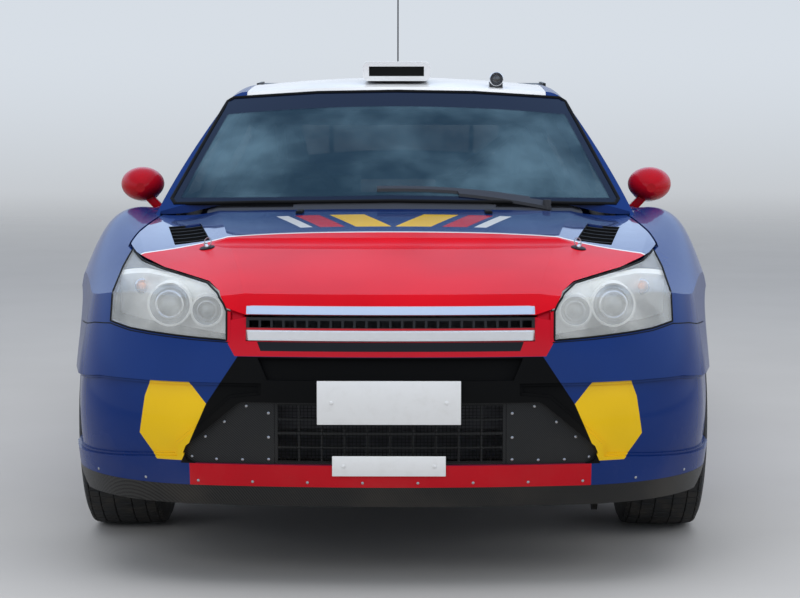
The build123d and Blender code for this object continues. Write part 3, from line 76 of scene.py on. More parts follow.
# Places on the car
WHEEL_X = 0.752
WHEEL_Z = 0.325
FRONT_AXLE_Y = -1.211
REAR_AXLE_Y = 1.397
SEAT_X = 0.342
FAR_AHEAD = -3.0
FAR_BEHIND = 3.0
FAR_ABOVE = 3.0
PANEL_REAR_Y = -1.9
BUMPER_REAR_Y = -1.5
LAMP_REAR_Y = -1.4
SEAM_REAR_Y = -1.2

# Outlines seen from ahead, as distance from the middle and height
SCREEN_CORNER = (0.675, 0.918)
SCREEN_OUTLINE = [(0.0, 0.917), (0.400, 0.911), (0.662, 0.903), SCREEN_CORNER, (0.543, 1.214),
                  (0.524, 1.226), (0.250, 1.243), (0.0, 1.247)]
LAMP_OUTLINE = [(0.404, 0.621), (0.406, 0.690), (0.415, 0.708), (0.433, 0.731), (0.467, 0.749),
                (0.600, 0.772), (0.668, 0.788), (0.712, 0.808), (0.721, 0.771), (0.721, 0.733),
                (0.719, 0.690), (0.718, 0.651), (0.660, 0.640), (0.603, 0.635), (0.497, 0.627)]
BUMPER_SEAM = [(0.400, 0.6165), (0.497, 0.6215), (0.603, 0.6295), (0.660, 0.6345), (0.718, 0.6455),
               (0.770, 0.6395), (0.852, 0.613)]

# Round lamp units. Columns: x, z, outer radius, y of the front rim
LAMP_UNITS = [(0.568, 0.692, 0.051, -1.868), (0.466, 0.682, 0.036, -1.934)]

# Fields of the bumper, as distance from the middle and height, taken upwards
BARE_HEIGHTS = (0.318, 0.5835)
BARE_EDGE = [(0.510, 0.340), (0.456, 0.464), (0.376, 0.584)]
YELLOW_HEIGHTS = (0.325, 0.519)
YELLOW_INNER_EDGE = [(0.503, 0.325), (0.454, 0.464), (0.495, 0.514)]
YELLOW_OUTER_EDGE = [(0.581, 0.326), (0.627, 0.386), (0.613, 0.479), (0.598, 0.519)]
SURROUND_EDGE = [(0.384, 0.584), (0.404, 0.618)]
SURROUND_HEAD_X, SURROUND_HEAD_Z = SURROUND_EDGE[1]
SURROUND_FOOT_Z = SURROUND_EDGE[0][1]
RED_FOOT_TOP = 0.318
RED_FOOT_END = 0.497
# Black band under the grille bar, painted shade standing in for the shade inside a recessed slot
SLOT_SHADE_HEIGHTS = (0.597, 0.6195)
SLOT_SHADE_EDGE = [(0.320, 0.597), (0.329, 0.6195)]
LAMP_STRIP_END = 0.406

# Fields of the bonnet. Edges are distance from the middle and y, taken to the rear
LINE_Y = -1.437
LINE_BOW = -0.6
LINE_HALF_WIDTH = 0.006
BAR_FIELD = (0.07, 0.25)
BAR_LEAN = 0.45
SLANTED_BARS = ((0.62, 0.10, YELLOW), (0.75, 0.07, RED), (0.84, 0.035, WHITE))
FRONT_BAR_HEIGHTS = (0.6845, 0.7045)
FRONT_BAR_END = 0.3575
FRONT_BAR_BACK = -2.04
OUTLET_Y = (-1.4615, -1.1985)
OUTLET_INNER_EDGE = [(0.5021, -1.4615), (0.5539, -1.1985)]
OUTLET_OUTER_EDGE = [(0.6001, -1.4615), (0.6467, -1.1985)]

# Fields of the grille, the scoop, the windscreen and the tail lamps
GRILLE_BAR_HEIGHTS = (0.6215, 0.6465)
GRILLE_SLAT_HEIGHTS = (0.6468, 0.6520)
# Inside of the roof scoop's mouth, painted black as painted shade of the opening
MOUTH_SHADE_X = (-0.0885, 0.0885)
MOUTH_SHADE_Y = (-0.4160, -0.3350)
MOUTH_SHADE_Z = (1.2925, 1.3235)
PILLAR_SLOPE = 0.446
PILLAR_PRINT = 0.030
SUN_BAND_FOOT = 1.196
SUN_BAND_BOW = 0.09
SCREEN_PRINT_TOP = 0.936
SCREEN_PRINT_SLOPE = 0.02
CLEAR_LAMP_HEIGHTS = (0.74, 0.80)


# Node helpers

class Net:
    """A node tree with short calls. A value is a number, a tuple or an output socket."""

    def __init__(self, tree):
        self.tree = tree

    def node(self, kind, **settings):
        made = self.tree.nodes.new(kind)
        for key, value in settings.items():
            setattr(made, key, value)
        return made

    def put(self, socket, value):
        if isinstance(value, bpy.types.NodeSocket):
            self.tree.links.new(value, socket)
        elif socket.type == "RGBA" and len(value) == 3:
            socket.default_value = (*value, 1)
        else:
            socket.default_value = value

    def filled(self, kind, values, output=0, **settings):
        """One output of a new node. values: by the name or the number of the input."""
        made = self.node(kind, **settings)
        for key, value in values.items():
            self.put(made.inputs[key], value)
        return made.outputs[output]

    def math(self, operation, a, b=0.0, c=0.0):
        return self.filled("ShaderNodeMath", {0: a, 1: b, 2: c}, operation=operation)

    def mix(self, factor, a, b):
        return self.filled("ShaderNodeMix", {0: factor, 6: a, 7: b}, 2, data_type="RGBA")

    def ramp(self, value, low, high, to_low=0.0, to_high=1.0):
        """Value between low and high, carried smoothly to between to_low and to_high."""
        values = {0: value, 1: low, 2: high, 3: to_low, 4: to_high}
        return self.filled("ShaderNodeMapRange", values, interpolation_type="SMOOTHSTEP")

    def split(self, vector):
        """The X, Y and Z parts of a vector."""
        made = self.node("ShaderNodeSeparateXYZ")
        self.put(made.inputs[0], vector)
        return made.outputs

    def place(self):
        """Where a point lies on the car."""
        return self.node("ShaderNodeTexCoord").outputs["Object"]

    def coordinates(self):
        return tuple(self.split(self.place()))

    def height(self):
        return self.split(self.place())["Z"]

    def facing(self, axis):
        """The face's own direction along an axis of the car, -1 to 1."""
        return self.split(self.node("ShaderNodeTexCoord").outputs["Normal"])[axis]

    def noise(self, place, scale, detail=3.0, roughness=0.55):
        return self.filled("ShaderNodeTexNoise", {"Vector": place, "Scale": scale, "Detail": detail,
                                                  "Roughness": roughness})

    def bump(self, height, strength, distance):
        return self.filled("ShaderNodeBump", {"Strength": strength, "Distance": distance,
                                              "Height": height})

    def below(self, value, edge, soft=0.0006):
        """1 where value is below edge."""
        gap = self.math("SUBTRACT", value, edge)
        return self.ramp(gap, -soft, soft, 1.0, 0.0)

    def band(self, value, low, high, soft=0.0006):
        """1 where value lies between low and high."""
        return self.both(self.no(self.below(value, low, soft)), self.below(value, high, soft))

    def left_of(self, across, up, start, end):
        """1 on the inner side of the line through two points (across, up), taken upwards."""
        slope = (end[0] - start[0]) / (end[1] - start[1])
        line = self.math("MULTIPLY_ADD", up, slope, start[0] - start[1] * slope)
        return self.below(self.math("SUBTRACT", across, line), 0.0)

    def within(self, across, up, edge, outer=False):
        """1 on the inner side of every run of an edge, or on the outer side of every run."""
        result = 1.0
        for start, end in zip(edge, edge[1:]):
            inner = self.left_of(across, up, start, end)
            result = self.both(result, self.no(inner) if outer else inner)
        return result

    def both(self, a, b):
        return self.math("MULTIPLY", a, b)

    def either(self, a, b):
        return self.math("MAXIMUM", a, b)

    def no(self, a):
        return self.math("SUBTRACT", 1.0, a)

    def shader(self, color, roughness=0.5, metallic=0.0, **others):
        """The material's shader. others: inputs by name, with _ for a space."""
        values = {"Base Color": color, "Roughness": roughness, "Metallic": metallic}
        values |= {key.replace("_", " "): value for key, value in others.items()}
        return self.filled("ShaderNodeBsdfPrincipled", values)


def new_group(name, inputs, outputs):
    """A shared node group. inputs: name, socket kind, default."""
    tree = bpy.data.node_groups.new(name, "ShaderNodeTree")
    for label, kind, default in inputs:
        made = tree.interface.new_socket(label, in_out="INPUT", socket_type=kind)
        made.default_value = default
    for label, kind in outputs:
        tree.interface.new_socket(label, in_out="OUTPUT", socket_type=kind)
    net = Net(tree)
    return net, net.node("NodeGroupInput").outputs, net.node("NodeGroupOutput").inputs


def new_material(name):
    material = bpy.data.materials.new(name)
    material.use_nodes = True
    material.node_tree.nodes.clear()
    net = Net(material.node_tree)
    return net, net.node("ShaderNodeOutputMaterial").inputs[0]


def use_group(net, name, **values):
    made = net.node("ShaderNodeGroup", node_tree=bpy.data.node_groups[name])
    for key, value in values.items():
        net.put(made.inputs[key], value)
    return made.outputs


# Shared effects

COLOR_INPUTS = [("Color", "NodeSocketColor", (0.5, 0.5, 0.5, 1)), ("Dust", "NodeSocketFloat", 1.0)]


def make_grime_group():
    """Road dust that gathers low on the car, with fine specks."""
    net, given, result = new_group("grime", COLOR_INPUTS, [("Color", "NodeSocketColor"),
                                                           ("Amount", "NodeSocketFloat")])
    place = net.place()
    low = net.ramp(net.height(), 0.50, 0.18, 0.0, 0.30)
    cloud = net.ramp(net.noise(place, 5.0, 5.0), 0.40, 0.80, 0.1, 1.0)
    specks = net.ramp(net.noise(place, 160.0, 2.0), 0.68, 0.74, 0.0, 0.4)
    spread = net.math("ADD", net.both(low, cloud), net.both(specks, low))
    amount = net.both(spread, given["Dust"])
    net.put(result["Color"], net.mix(amount, given["Color"], DUST))
    net.put(result["Amount"], amount)


def make_paint_film_group():
    """What gloss paint shows besides its colour: dust, orange peel and a duller foot."""
    net, given, result = new_group("paint_film", COLOR_INPUTS, [("Color", "NodeSocketColor"),
                                                                ("Roughness", "NodeSocketFloat"),
                                                                ("Normal", "NodeSocketVector")])
    place = net.place()
    dust = use_group(net, "grime", Color=given["Color"], Dust=given["Dust"])
    tone = net.ramp(net.noise(place, 2.4, 2.0), 0.3, 0.7, 0.90, 1.06)
    shade = net.filled("ShaderNodeVectorMath", {0: dust["Color"], "Scale": tone}, operation="SCALE")
    net.put(result["Color"], shade)
    net.put(result["Roughness"], net.math("ADD", 0.26, net.both(dust["Amount"], 0.9)))
    net.put(result["Normal"], net.bump(net.noise(place, 420.0, 1.0), 0.03, 0.0004))


def make_weave_group():
    """Twill cloth in two directions, seen from the front or from above."""
    net, given, result = new_group(
        "weave",
        [("Across", "NodeSocketFloat", 0.0), ("Up", "NodeSocketFloat", 0.0),
         ("Pitch", "NodeSocketFloat", 0.006)],
        [("Warp", "NodeSocketFloat"), ("Height", "NodeSocketFloat")],
    )
    u = net.math("DIVIDE", given["Across"], given["Pitch"])
    v = net.math("DIVIDE", given["Up"], given["Pitch"])
    step = net.math("ADD", net.math("FLOOR", u), net.math("FLOOR", v))
    warp = net.math("LESS_THAN", net.math("FLOORED_MODULO", step, 4.0), 2.0)
    thread_u = net.math("ABSOLUTE", net.math("SINE", net.math("MULTIPLY", u, math.pi)))
    thread_v = net.math("ABSOLUTE", net.math("SINE", net.math("MULTIPLY", v, math.pi)))
    height = net.math("ADD", net.both(warp, thread_u), net.both(net.no(warp), thread_v))
    net.put(result["Warp"], warp)
    net.put(result["Height"], height)


make_grime_group()
make_paint_film_group()
make_weave_group()


# Colours of the painted panels

def plain(color):
    return lambda net, x, y, z: color


def behind_line(net, x, y):
    """How far a place on the bonnet lies behind the bowed white line, in metres."""
    bow = net.both(net.math("POWER", net.math("ABSOLUTE", x), 4.0), LINE_BOW)
    return net.math("SUBTRACT", y, net.math("ADD", bow, LINE_Y))


def bonnet_color(net, x, y):
    """Blue behind and red before a bowed white line, with bars that lean outwards on the blue."""
    behind = behind_line(net, x, y)
    color = net.mix(net.below(behind, 0.0), BLUE, BONNET_RED)
    field = net.band(behind, *BAR_FIELD, 0.001)
    lean = net.math("SUBTRACT", net.math("ABSOLUTE", x), net.math("MULTIPLY", y, BAR_LEAN))
    for start, width, paint in SLANTED_BARS:
        bar = net.both(net.band(lean, start, start + width, 0.001), field)
        color = net.mix(bar, color, paint)
    return net.mix(net.band(behind, -LINE_HALF_WIDTH, LINE_HALF_WIDTH), color, WHITE)


def bare_middle(net, x, z):
    """1 on the unpainted middle of the bumper."""
    return net.both(net.band(z, *BARE_HEIGHTS), net.within(net.math("ABSOLUTE", x), z, BARE_EDGE))


def bumper_color(net, x, y, z):
    """Blue with a red grille surround, a bare middle, yellow corner fields, a red foot, and a black band
    under the grille bar that is painted shade of a recessed slot.
    """
    side = net.math("ABSOLUTE", x)
    yellow = net.both(net.band(z, *YELLOW_HEIGHTS), net.within(side, z, YELLOW_INNER_EDGE, outer=True))
    yellow = net.both(yellow, net.within(side, z, YELLOW_OUTER_EDGE))
    color = net.mix(yellow, BLUE, YELLOW)
    color = net.mix(bare_middle(net, x, z), color, BLACK)
    head = net.both(net.below(side, SURROUND_HEAD_X), net.no(net.below(z, SURROUND_HEAD_Z)))
    surround = net.either(net.within(side, z, SURROUND_EDGE), head)
    surround = net.both(surround, net.no(net.below(z, SURROUND_FOOT_Z)))
    foot = net.both(net.below(z, RED_FOOT_TOP), net.below(side, RED_FOOT_END))
    color = net.mix(net.either(surround, foot), color, RED)
    # Painted shade: a black band where a recessed slot would sit in shade
    slot_shade = net.both(net.band(z, *SLOT_SHADE_HEIGHTS), net.within(side, z, SLOT_SHADE_EDGE))
    return net.mix(slot_shade, color, BLACK)


def fender_color(net, x, y, z):
    """Blue, with the strip inside the lamp in the red of the grille surround."""
    return net.mix(net.below(net.math("ABSOLUTE", x), LAMP_STRIP_END), BLUE, RED)


def scoop_color(net, x, y, z):
    """White, with the inside of the scoop's mouth painted black as painted shade of the opening."""
    # Painted shade inside the scoop's mouth
    mouth_shade = net.both(net.band(x, *MOUTH_SHADE_X), net.both(net.band(y, *MOUTH_SHADE_Y), net.band(z, *MOUTH_SHADE_Z)))
    return net.mix(mouth_shade, WHITE, DEEP_BLACK)


def screen_frame(net, x, z):
    """1 on the dark edge and the sun band of the windscreen."""
    side = net.math("ABSOLUTE", x)
    reach = SCREEN_CORNER[0] - PILLAR_PRINT + PILLAR_SLOPE * SCREEN_CORNER[1]
    pillar = net.math("MULTIPLY_ADD", z, -PILLAR_SLOPE, reach)
    edge = net.no(net.below(net.math("SUBTRACT", side, pillar), 0.0, 0.003))
    level = net.math("ADD", z, net.both(net.both(x, x), SUN_BAND_BOW))
    top = net.no(net.below(level, SUN_BAND_FOOT, 0.001))
    foot = net.below(net.math("ADD", z, net.both(side, SCREEN_PRINT_SLOPE)), SCREEN_PRINT_TOP, 0.002)
    return net.either(net.either(edge, foot), top)


# Paints

def painted(name, color_of, dust=1.0, bare_of=None):
    """Gloss paint under clear coat. color_of(net, x, y, z) gives its colour, and bare_of(net, x, z) is 1
    where the plastic was left bare."""
    net, end = new_material(name)
    x, y, z = net.coordinates()
    film = use_group(net, "paint_film", Color=color_of(net, x, y, z), Dust=dust)
    rough, coat = film["Roughness"], PAINT_COAT
    if bare_of:
        bare = bare_of(net, x, z)
        rough = net.math("ADD", rough, net.both(bare, 0.30))
        coat = net.math("MULTIPLY_ADD", bare, 0.01 - PAINT_COAT, PAINT_COAT)
    net.put(end, net.shader(film["Color"], rough, Normal=film["Normal"], Coat_Weight=coat, **GLOSS))


def make_bonnet_paint():
    """The bonnet's paint, with the bright bar on its front edge, black fins in its outlets and a plain
    underside. The sky shows in the blue and hardly in the red."""
    net, end = new_material("bonnet_livery")
    x, y, z = net.coordinates()
    side = net.math("ABSOLUTE", x)
    film = use_group(net, "paint_film", Color=bonnet_color(net, x, y), Dust=1.0)
    bar = net.both(net.band(z, *FRONT_BAR_HEIGHTS), net.below(side, FRONT_BAR_END))
    bar = net.both(bar, net.below(y, FRONT_BAR_BACK))
    outlet = net.both(net.band(y, *OUTLET_Y), net.within(side, y, OUTLET_INNER_EDGE, outer=True))
    outlet = net.both(outlet, net.within(side, y, OUTLET_OUTER_EDGE))
    color = net.mix(outlet, net.mix(bar, film["Color"], BRIGHT), DEEP_BLACK)
    color = net.mix(net.below(net.facing("Z"), -0.3, 0.05), color, BLUE)
    rough = net.math("ADD", film["Roughness"], net.both(outlet, 0.25))
    rough = net.math("ADD", net.both(bar, -0.18), rough)
    red = net.below(behind_line(net, x, y), 0.0)
    coat = net.both(net.no(outlet), net.math("MULTIPLY_ADD", red, -0.97, 1.0))
    net.put(end, net.shader(color, rough, net.both(bar, 0.7), Normal=film["Normal"], Coat_Weight=coat,
                            Coat_Roughness=0.035, Specular_IOR_Level=0.06))


# Plastics, carbon, metals and rubber

def make_plastic(name, color, roughness):
    net, end = new_material(name)
    place = net.place()
    dust = use_group(net, "grime", Color=color, Dust=0.7)
    patch = net.ramp(net.noise(place, 14.0, 4.0), 0.3, 0.7, -0.06, 0.08)
    grain = net.bump(net.noise(place, 900.0, 2.0), 0.25, 0.0004)
    net.put(end, net.shader(dust["Color"], net.math("ADD", roughness, patch), Normal=grain,
                            Specular_IOR_Level=0.08))


def make_carbon():
    net, end = new_material("woven_carbon")
    x, y, z = net.coordinates()
    across = net.math("ADD", x, net.math("MULTIPLY", y, 0.35))
    cloth = use_group(net, "weave", Across=across, Up=net.math("ADD", z, y), Pitch=0.0015)
    color = net.mix(cloth["Warp"], (0.004, 0.004, 0.004), (0.022, 0.022, 0.021))
    dust = use_group(net, "grime", Color=color, Dust=0.35)
    raised = net.bump(cloth["Height"], 0.35, 0.0006)
    net.put(end, net.shader(dust["Color"], 0.42, Normal=raised, Specular_IOR_Level=0.20,
                            Coat_Weight=0.12, Coat_Roughness=0.12))


def make_metal(name, color, roughness, metallic=1.0):
    net, end = new_material(name)
    rub = net.noise(net.place(), 60.0, 5.0, 0.65)
    shade = net.mix(net.ramp(rub, 0.3, 0.7, 0.0, 0.25), color, tuple(0.6 * c for c in color))
    rough = net.math("ADD", roughness, net.ramp(rub, 0.3, 0.7, -0.03, 0.10))
    net.put(end, net.shader(shade, rough, metallic, Normal=net.bump(rub, 0.04, 0.0005)))


def make_grille_metal():
    """Bright bar in a black grille, with a red slat above the bar."""
    net, end = new_material("grille_bar")
    z = net.height()
    bar = net.band(z, *GRILLE_BAR_HEIGHTS)
    slat = net.band(z, *GRILLE_SLAT_HEIGHTS)
    rub = net.noise(net.place(), 60.0, 5.0, 0.65)
    color = net.mix(bar, net.mix(slat, MESH_BLACK, RED), BRIGHT)
    rough = net.math("MULTIPLY_ADD", bar, -0.38, 0.52)
    rough = net.math("ADD", rough, net.ramp(rub, 0.3, 0.7, -0.02, 0.05))
    net.put(end, net.shader(color, rough, net.both(bar, 0.7)))


def make_rubber():
    net, end = new_material("tyre_rubber")
    place = net.place()
    cloud = net.noise(place, 22.0, 5.0)
    color = net.mix(net.ramp(cloud, 0.40, 0.80), (0.013, 0.013, 0.013), (0.050, 0.043, 0.035))
    rough = net.ramp(cloud, 0.3, 0.7, 0.62, 0.85)
    net.put(end, net.shader(color, rough, Normal=net.bump(net.noise(place, 700.0, 2.0), 0.3, 0.0004)))


# Glass, lenses and optics

def make_window(name, clear, tint_and_shade, reflection_color, framed=False):
    """Tinted glass, partly opaque: its dark colour is also painted shade of the cabin, its bloom partly
    smear and partly painted sky reflection; a dark printed edge where framed.
    """
    net, end = new_material(name)
    # Painted sky reflection, partly smear: noise carries the colour towards the pale one and makes the
    # glass more opaque there. The dark colour is also painted shade of the cabin behind.
    smear_and_reflection = net.ramp(net.noise(net.place(), 2.6, 4.0), 0.35, 0.75)
    color = net.mix(smear_and_reflection, tint_and_shade, reflection_color)
    alpha = net.math("MULTIPLY_ADD", smear_and_reflection, 0.16, clear)
    if framed:
        x, y, z = net.coordinates()
        edge = screen_frame(net, x, z)
        color = net.mix(edge, color, SUN_BAND)
        alpha = net.either(edge, alpha)
    net.put(end, net.shader(color, 0.05, Alpha=alpha, Specular_IOR_Level=0.28, Coat_Weight=0.06,
                            Coat_Roughness=0.02))


def make_lens():
    """Aged clear polycarbonate, milky in patches."""
    net, end = new_material("lamp_lens")
    cloud = net.ramp(net.noise(net.place(), 9.0, 5.0), 0.25, 0.75, 0.15, 0.32)
    flutes = net.math("SINE", net.math("MULTIPLY", net.coordinates()[0], 420.0))
    net.put(end, net.shader((0.90, 0.91, 0.86), 0.12, Alpha=cloud, Coat_Weight=1.0, Coat_Roughness=0.03,
                            Normal=net.bump(flutes, 0.02, 0.0006)))


def make_red_lens():
    """Ribbed red lens with one clear stretch."""
    net, end = new_material("tail_lens")
    z = net.height()
    ribs = net.math("SINE", net.math("MULTIPLY", z, 900.0))
    color = net.mix(net.band(z, *CLEAR_LAMP_HEIGHTS), (0.45, 0.006, 0.008), (0.62, 0.60, 0.58))
    net.put(end, net.shader(color, 0.12, Normal=net.bump(ribs, 0.2, 0.001), Coat_Weight=1.0,
                            Coat_Roughness=0.03))


def make_optic(name, color, roughness, metallic):
    """Bright optic with a faint haze."""
    net, end = new_material(name)
    haze = net.ramp(net.noise(net.place(), 40.0, 3.0), 0.3, 0.7, 0.0, 0.12)
    net.put(end, net.shader(net.mix(haze, color, (0.55, 0.57, 0.55)), net.math("ADD", roughness, haze),
                            metallic, Coat_Weight=0.5, Coat_Roughness=0.03))


# Cloth and plate sheet

def make_cloth(name, color, other):
    """Woven seat fabric or webbing."""
    net, end = new_material(name)
    x, y, z = net.coordinates()
    cloth = use_group(net, "weave", Across=x, Up=net.math("ADD", z, y), Pitch=0.003)
    shade = net.mix(cloth["Warp"], color, other)
    fluff = net.noise(net.place(), 300.0, 3.0)
    net.put(end, net.shader(shade, net.ramp(fluff, 0.3, 0.7, 0.75, 0.95), Sheen_Weight=0.3,
                            Normal=net.bump(cloth["Height"], 0.4, 0.0008)))


def make_plate_sheet():
    """Blank reflective sheet with fine beads and a little dirt."""
    net, end = new_material("plate_sheet")
    place = net.place()
    beads = net.noise(place, 1400.0, 1.0)
    smudge = net.ramp(net.noise(place, 30.0, 4.0), 0.45, 0.85, 0.0, 0.25)
    color = net.mix(smudge, (0.78, 0.78, 0.77), (0.52, 0.50, 0.46))
    net.put(end, net.shader(color, 0.32, Normal=net.bump(beads, 0.15, 0.0002), Coat_Weight=0.6,
                            Coat_Roughness=0.08))


painted("body_blue", plain(BLUE), 0.6)
painted("fender_livery", fender_color, 0.4)
painted("bumper_livery", bumper_color, 0.4, bare_middle)
painted("scoop_white", scoop_color, 0.4)
painted("roof_white", plain(WHITE), 0.4)
painted("gloss_red", plain(MIRROR_RED), 0.5)
painted("tub_white", plain((0.42, 0.43, 0.44)), 1.0)
painted("cage_white", plain((0.40, 0.41, 0.42)), 0.3)
painted("wheel_white", plain((0.62, 0.62, 0.62)), 1.0)
make_bonnet_paint()
make_plastic("bare_plastic", (0.009, 0.009, 0.009), 0.52)
make_plastic("satin_black", (0.010, 0.010, 0.010), 0.38)
make_plastic("seal_rubber", (0.010, 0.010, 0.010), 0.60)
make_plastic("dash_black", (0.020, 0.020, 0.021), 0.70)
make_plastic("flap_plastic", (0.35, 0.01, 0.015), 0.5)
make_carbon()
make_grille_metal()
make_metal("chrome", (0.90, 0.91, 0.93), 0.10, 0.75)
make_metal("lamp_silver", (0.93, 0.93, 0.89), 0.34, 0.15)
make_metal("cast_alloy", (0.33, 0.33, 0.33), 0.42)
make_metal("steel", (0.42, 0.40, 0.38), 0.34)
make_metal("chassis_paint", (0.055, 0.056, 0.060), 0.45, 0.1)
make_metal("engine_grey", (0.16, 0.16, 0.165), 0.5, 0.4)
make_rubber()
make_window("windscreen_glass", 0.54, (0.012, 0.038, 0.062), (0.120, 0.215, 0.275), framed=True)
make_window("side_glass", 0.62, (0.010, 0.018, 0.026), (0.030, 0.044, 0.056))
make_lens()
make_red_lens()
make_optic("projector_glass", (0.15, 0.17, 0.17), 0.04, 0.0)
make_optic("lens_black", (0.010, 0.010, 0.012), 0.05, 0.0)
make_optic("reflector", (0.74, 0.76, 0.75), 0.10, 1.0)
make_optic("amber_bulb", AMBER, 0.15, 0.0)
make_cloth("seat_cloth", (0.016, 0.017, 0.020), (0.040, 0.042, 0.048))
make_cloth("belt_webbing", (0.30, 0.006, 0.010), (0.40, 0.012, 0.018))
make_plate_sheet()


FINISHES = {
    "body_blue": ["bodyside_left", "bodyside_right", "door_left", "door_right", "tailgate", "rear_bumper"],
    "fender_livery": ["front_fender_left", "front_fender_right"],
    "bonnet_livery": ["bonnet"],
    "bumper_livery": ["front_bumper"],
    "roof_white": ["roof_panel"],
    "scoop_white": ["roof_scoop"],
    "gloss_red": ["mirror_left", "mirror_right"],
    "satin_black": ["tow_eyes"],
    "bare_plastic": ["cowl", "wiper", "antenna", "roof_camera"],
    "dash_black": ["dashboard", "steering_wheel"],
    "woven_carbon": ["splitter", "intake_grille", "rear_wing", "seat_left", "seat_right"],
    "grille_bar": ["grille"],
    "lamp_silver": ["headlamps"],
    "lamp_lens": ["headlamp_lenses"],
    "tail_lens": ["tail_lamps"],
    "windscreen_glass": ["windscreen"],
    "side_glass": ["door_glass_left", "door_glass_right", "quarter_glass", "tailgate_glass"],
    "tub_white": ["floor_tub"],
    "cage_white": ["roll_cage"],
    "wheel_white": ["wheel_front_left", "wheel_front_right", "wheel_rear_left", "wheel_rear_right"],
    "tyre_rubber": ["tyre_front_left", "tyre_front_right", "tyre_rear_left", "tyre_rear_right"],
    "cast_alloy": ["knuckle_left", "knuckle_right"],
    "steel": ["exhaust", "steering_rack"],
    "chassis_paint": ["front_frame", "rear_frame"],
    "engine_grey": ["engine_block"],
    "flap_plastic": ["mud_flaps"],
}
for finish, covered in FINISHES.items():
    for node in covered:
        for place in nodes[node].material_slots:
            place.material = bpy.data.materials[finish]


# Making and placing pieces

def surface_of(*names):
    """One search tree over the meshes of some CAD nodes."""
    points = []
    faces = []
    for name in names:
        mesh = nodes[name].data
        start = len(points)
        points += [v.co.copy() for v in mesh.vertices]
        faces += [[start + i for i in polygon.vertices] for polygon in mesh.polygons]
    return BVHTree.FromPolygons(points, faces)


def first_met(tree, start, way):
    """First point met from start along way and the direction out of the surface, or None for both."""
    point, normal = tree.ray_cast(Vector(start), Vector(way))[:2]
    if point is None:
        return None, None
    return point, normal if normal.dot(Vector(way)) < 0 else -normal


def from_front(tree, x, z, limit=math.inf):
    """What is met going back from in front of the car, where it lies ahead of y = limit."""
    point, out = first_met(tree, (x, FAR_AHEAD, z), (0, 1, 0))
    return (point, out) if point is not None and point.y < limit else (None, None)


def from_above(tree, x, y):
    return first_met(tree, (x, y, FAR_ABOVE), (0, 0, -1))


def standing(place, out):
    """Matrix whose z axis points out at a place."""
    return Matrix.Translation(place) @ out.to_track_quat("Z", "Y").to_matrix().to_4x4()


def new_object(name, data):
    made = bpy.data.objects.new(name, data)
    bpy.context.collection.objects.link(made)
    return made


def as_mesh(form, name="part"):
    mesh = bpy.data.meshes.new(name)
    form.to_mesh(mesh)
    form.free()
    return mesh


def cleaned(form):
    bmesh.ops.remove_doubles(form, verts=form.verts, dist=0.00001)
    bmesh.ops.recalc_face_normals(form, faces=form.faces)
    return form


def finished(form, name, finish, body, smooth=True, clean=True):
    """Turns a bmesh into a piece with its finish, riding on a body."""
    if clean:
        cleaned(form)
    for face in form.faces:
        face.smooth = smooth
    mesh = as_mesh(form, name)
    mesh.materials.append(bpy.data.materials[finish])
    piece = new_object(name, mesh)
    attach(piece, body)
    return piece


def sharpen(piece, degrees=35):
    """Smooth shading that breaks at edges steeper than the angle."""
    limit = math.radians(degrees)
    form = bmesh.new()
    form.from_mesh(piece.data)
    for edge in form.edges:
        if len(edge.link_faces) == 2 and edge.calc_face_angle(0) > limit:
            edge.smooth = False
    form.to_mesh(piece.data)
    form.free()
    return piece


def turned(profile, steps=32, ring=False):
    """A turned shape round the z axis. profile: radius, height, from the axis to the axis, or a ring."""
    form = bmesh.new()
    points = [form.verts.new((radius, 0, height)) for radius, height in profile]
    edges = [form.edges.new(pair) for pair in zip(points, points[1:] + (points[:1] if ring else []))]
    bmesh.ops.spin(form, geom=points + edges, cent=(0, 0, 0), axis=(0, 0, 1), dvec=(0, 0, 0),
                   angle=math.tau, steps=steps, use_merge=True, use_duplicate=False)
    return cleaned(form)


def placed(form, matrix):
    bmesh.ops.transform(form, matrix=matrix, verts=form.verts)
    return form


def thickened(form, thickness):
    """Gives an open sheet its thickness."""
    bmesh.ops.recalc_face_normals(form, faces=form.faces)
    bmesh.ops.solidify(form, geom=form.faces[:], thickness=thickness)
    return form


def joined(forms):
    """One bmesh with all the forms in it."""
    whole = bmesh.new()
    for form in forms:
        part = as_mesh(form)
        whole.from_mesh(part)
        bpy.data.meshes.remove(part)
    return whole


def turned_piece(name, finish, body, profile, matrices, steps=32, ring=False):
    """One piece made of the same turned shape at one or more places."""
    whole = joined(placed(turned(profile, steps, ring), matrix) for matrix in matrices)
    return sharpen(finished(whole, name, finish, body, clean=False))


def box_form(size, place=(0, 0, 0), bevel=0.0, segments=2):
    """A block with its edges rounded."""
    form = bmesh.new()
    bmesh.ops.create_cube(form, size=1.0)
    bmesh.ops.scale(form, vec=Vector(size), verts=form.verts)
    if bevel:
        bmesh.ops.bevel(form, geom=form.edges[:], offset=bevel, segments=segments, affect="EDGES",
                        profile=0.5, material=-1)
    bmesh.ops.translate(form, vec=Vector(place), verts=form.verts)
    return form


def strip(name, finish, body, points, radius, closed=False):
    """A round trim strip along points, made a mesh."""
    data = bpy.data.curves.new(name, "CURVE")
    data.dimensions = "3D"
    data.bevel_depth = radius
    data.bevel_resolution = 2
    data.use_fill_caps = True
    line = data.splines.new("POLY")
    line.points.add(len(points) - 1)
    for spot, point in zip(line.points, points):
        spot.co = (*point, 1)
    line.use_cyclic_u = closed
    curve = new_object(name + "_line", data)
    graph = bpy.context.evaluated_depsgraph_get()
    mesh = bpy.data.meshes.new_from_object(curve.evaluated_get(graph))
    bpy.data.objects.remove(curve)
    bpy.data.curves.remove(data)
    form = bmesh.new()
    form.from_mesh(mesh)
    bpy.data.meshes.remove(mesh)
    return finished(form, name, finish, body)


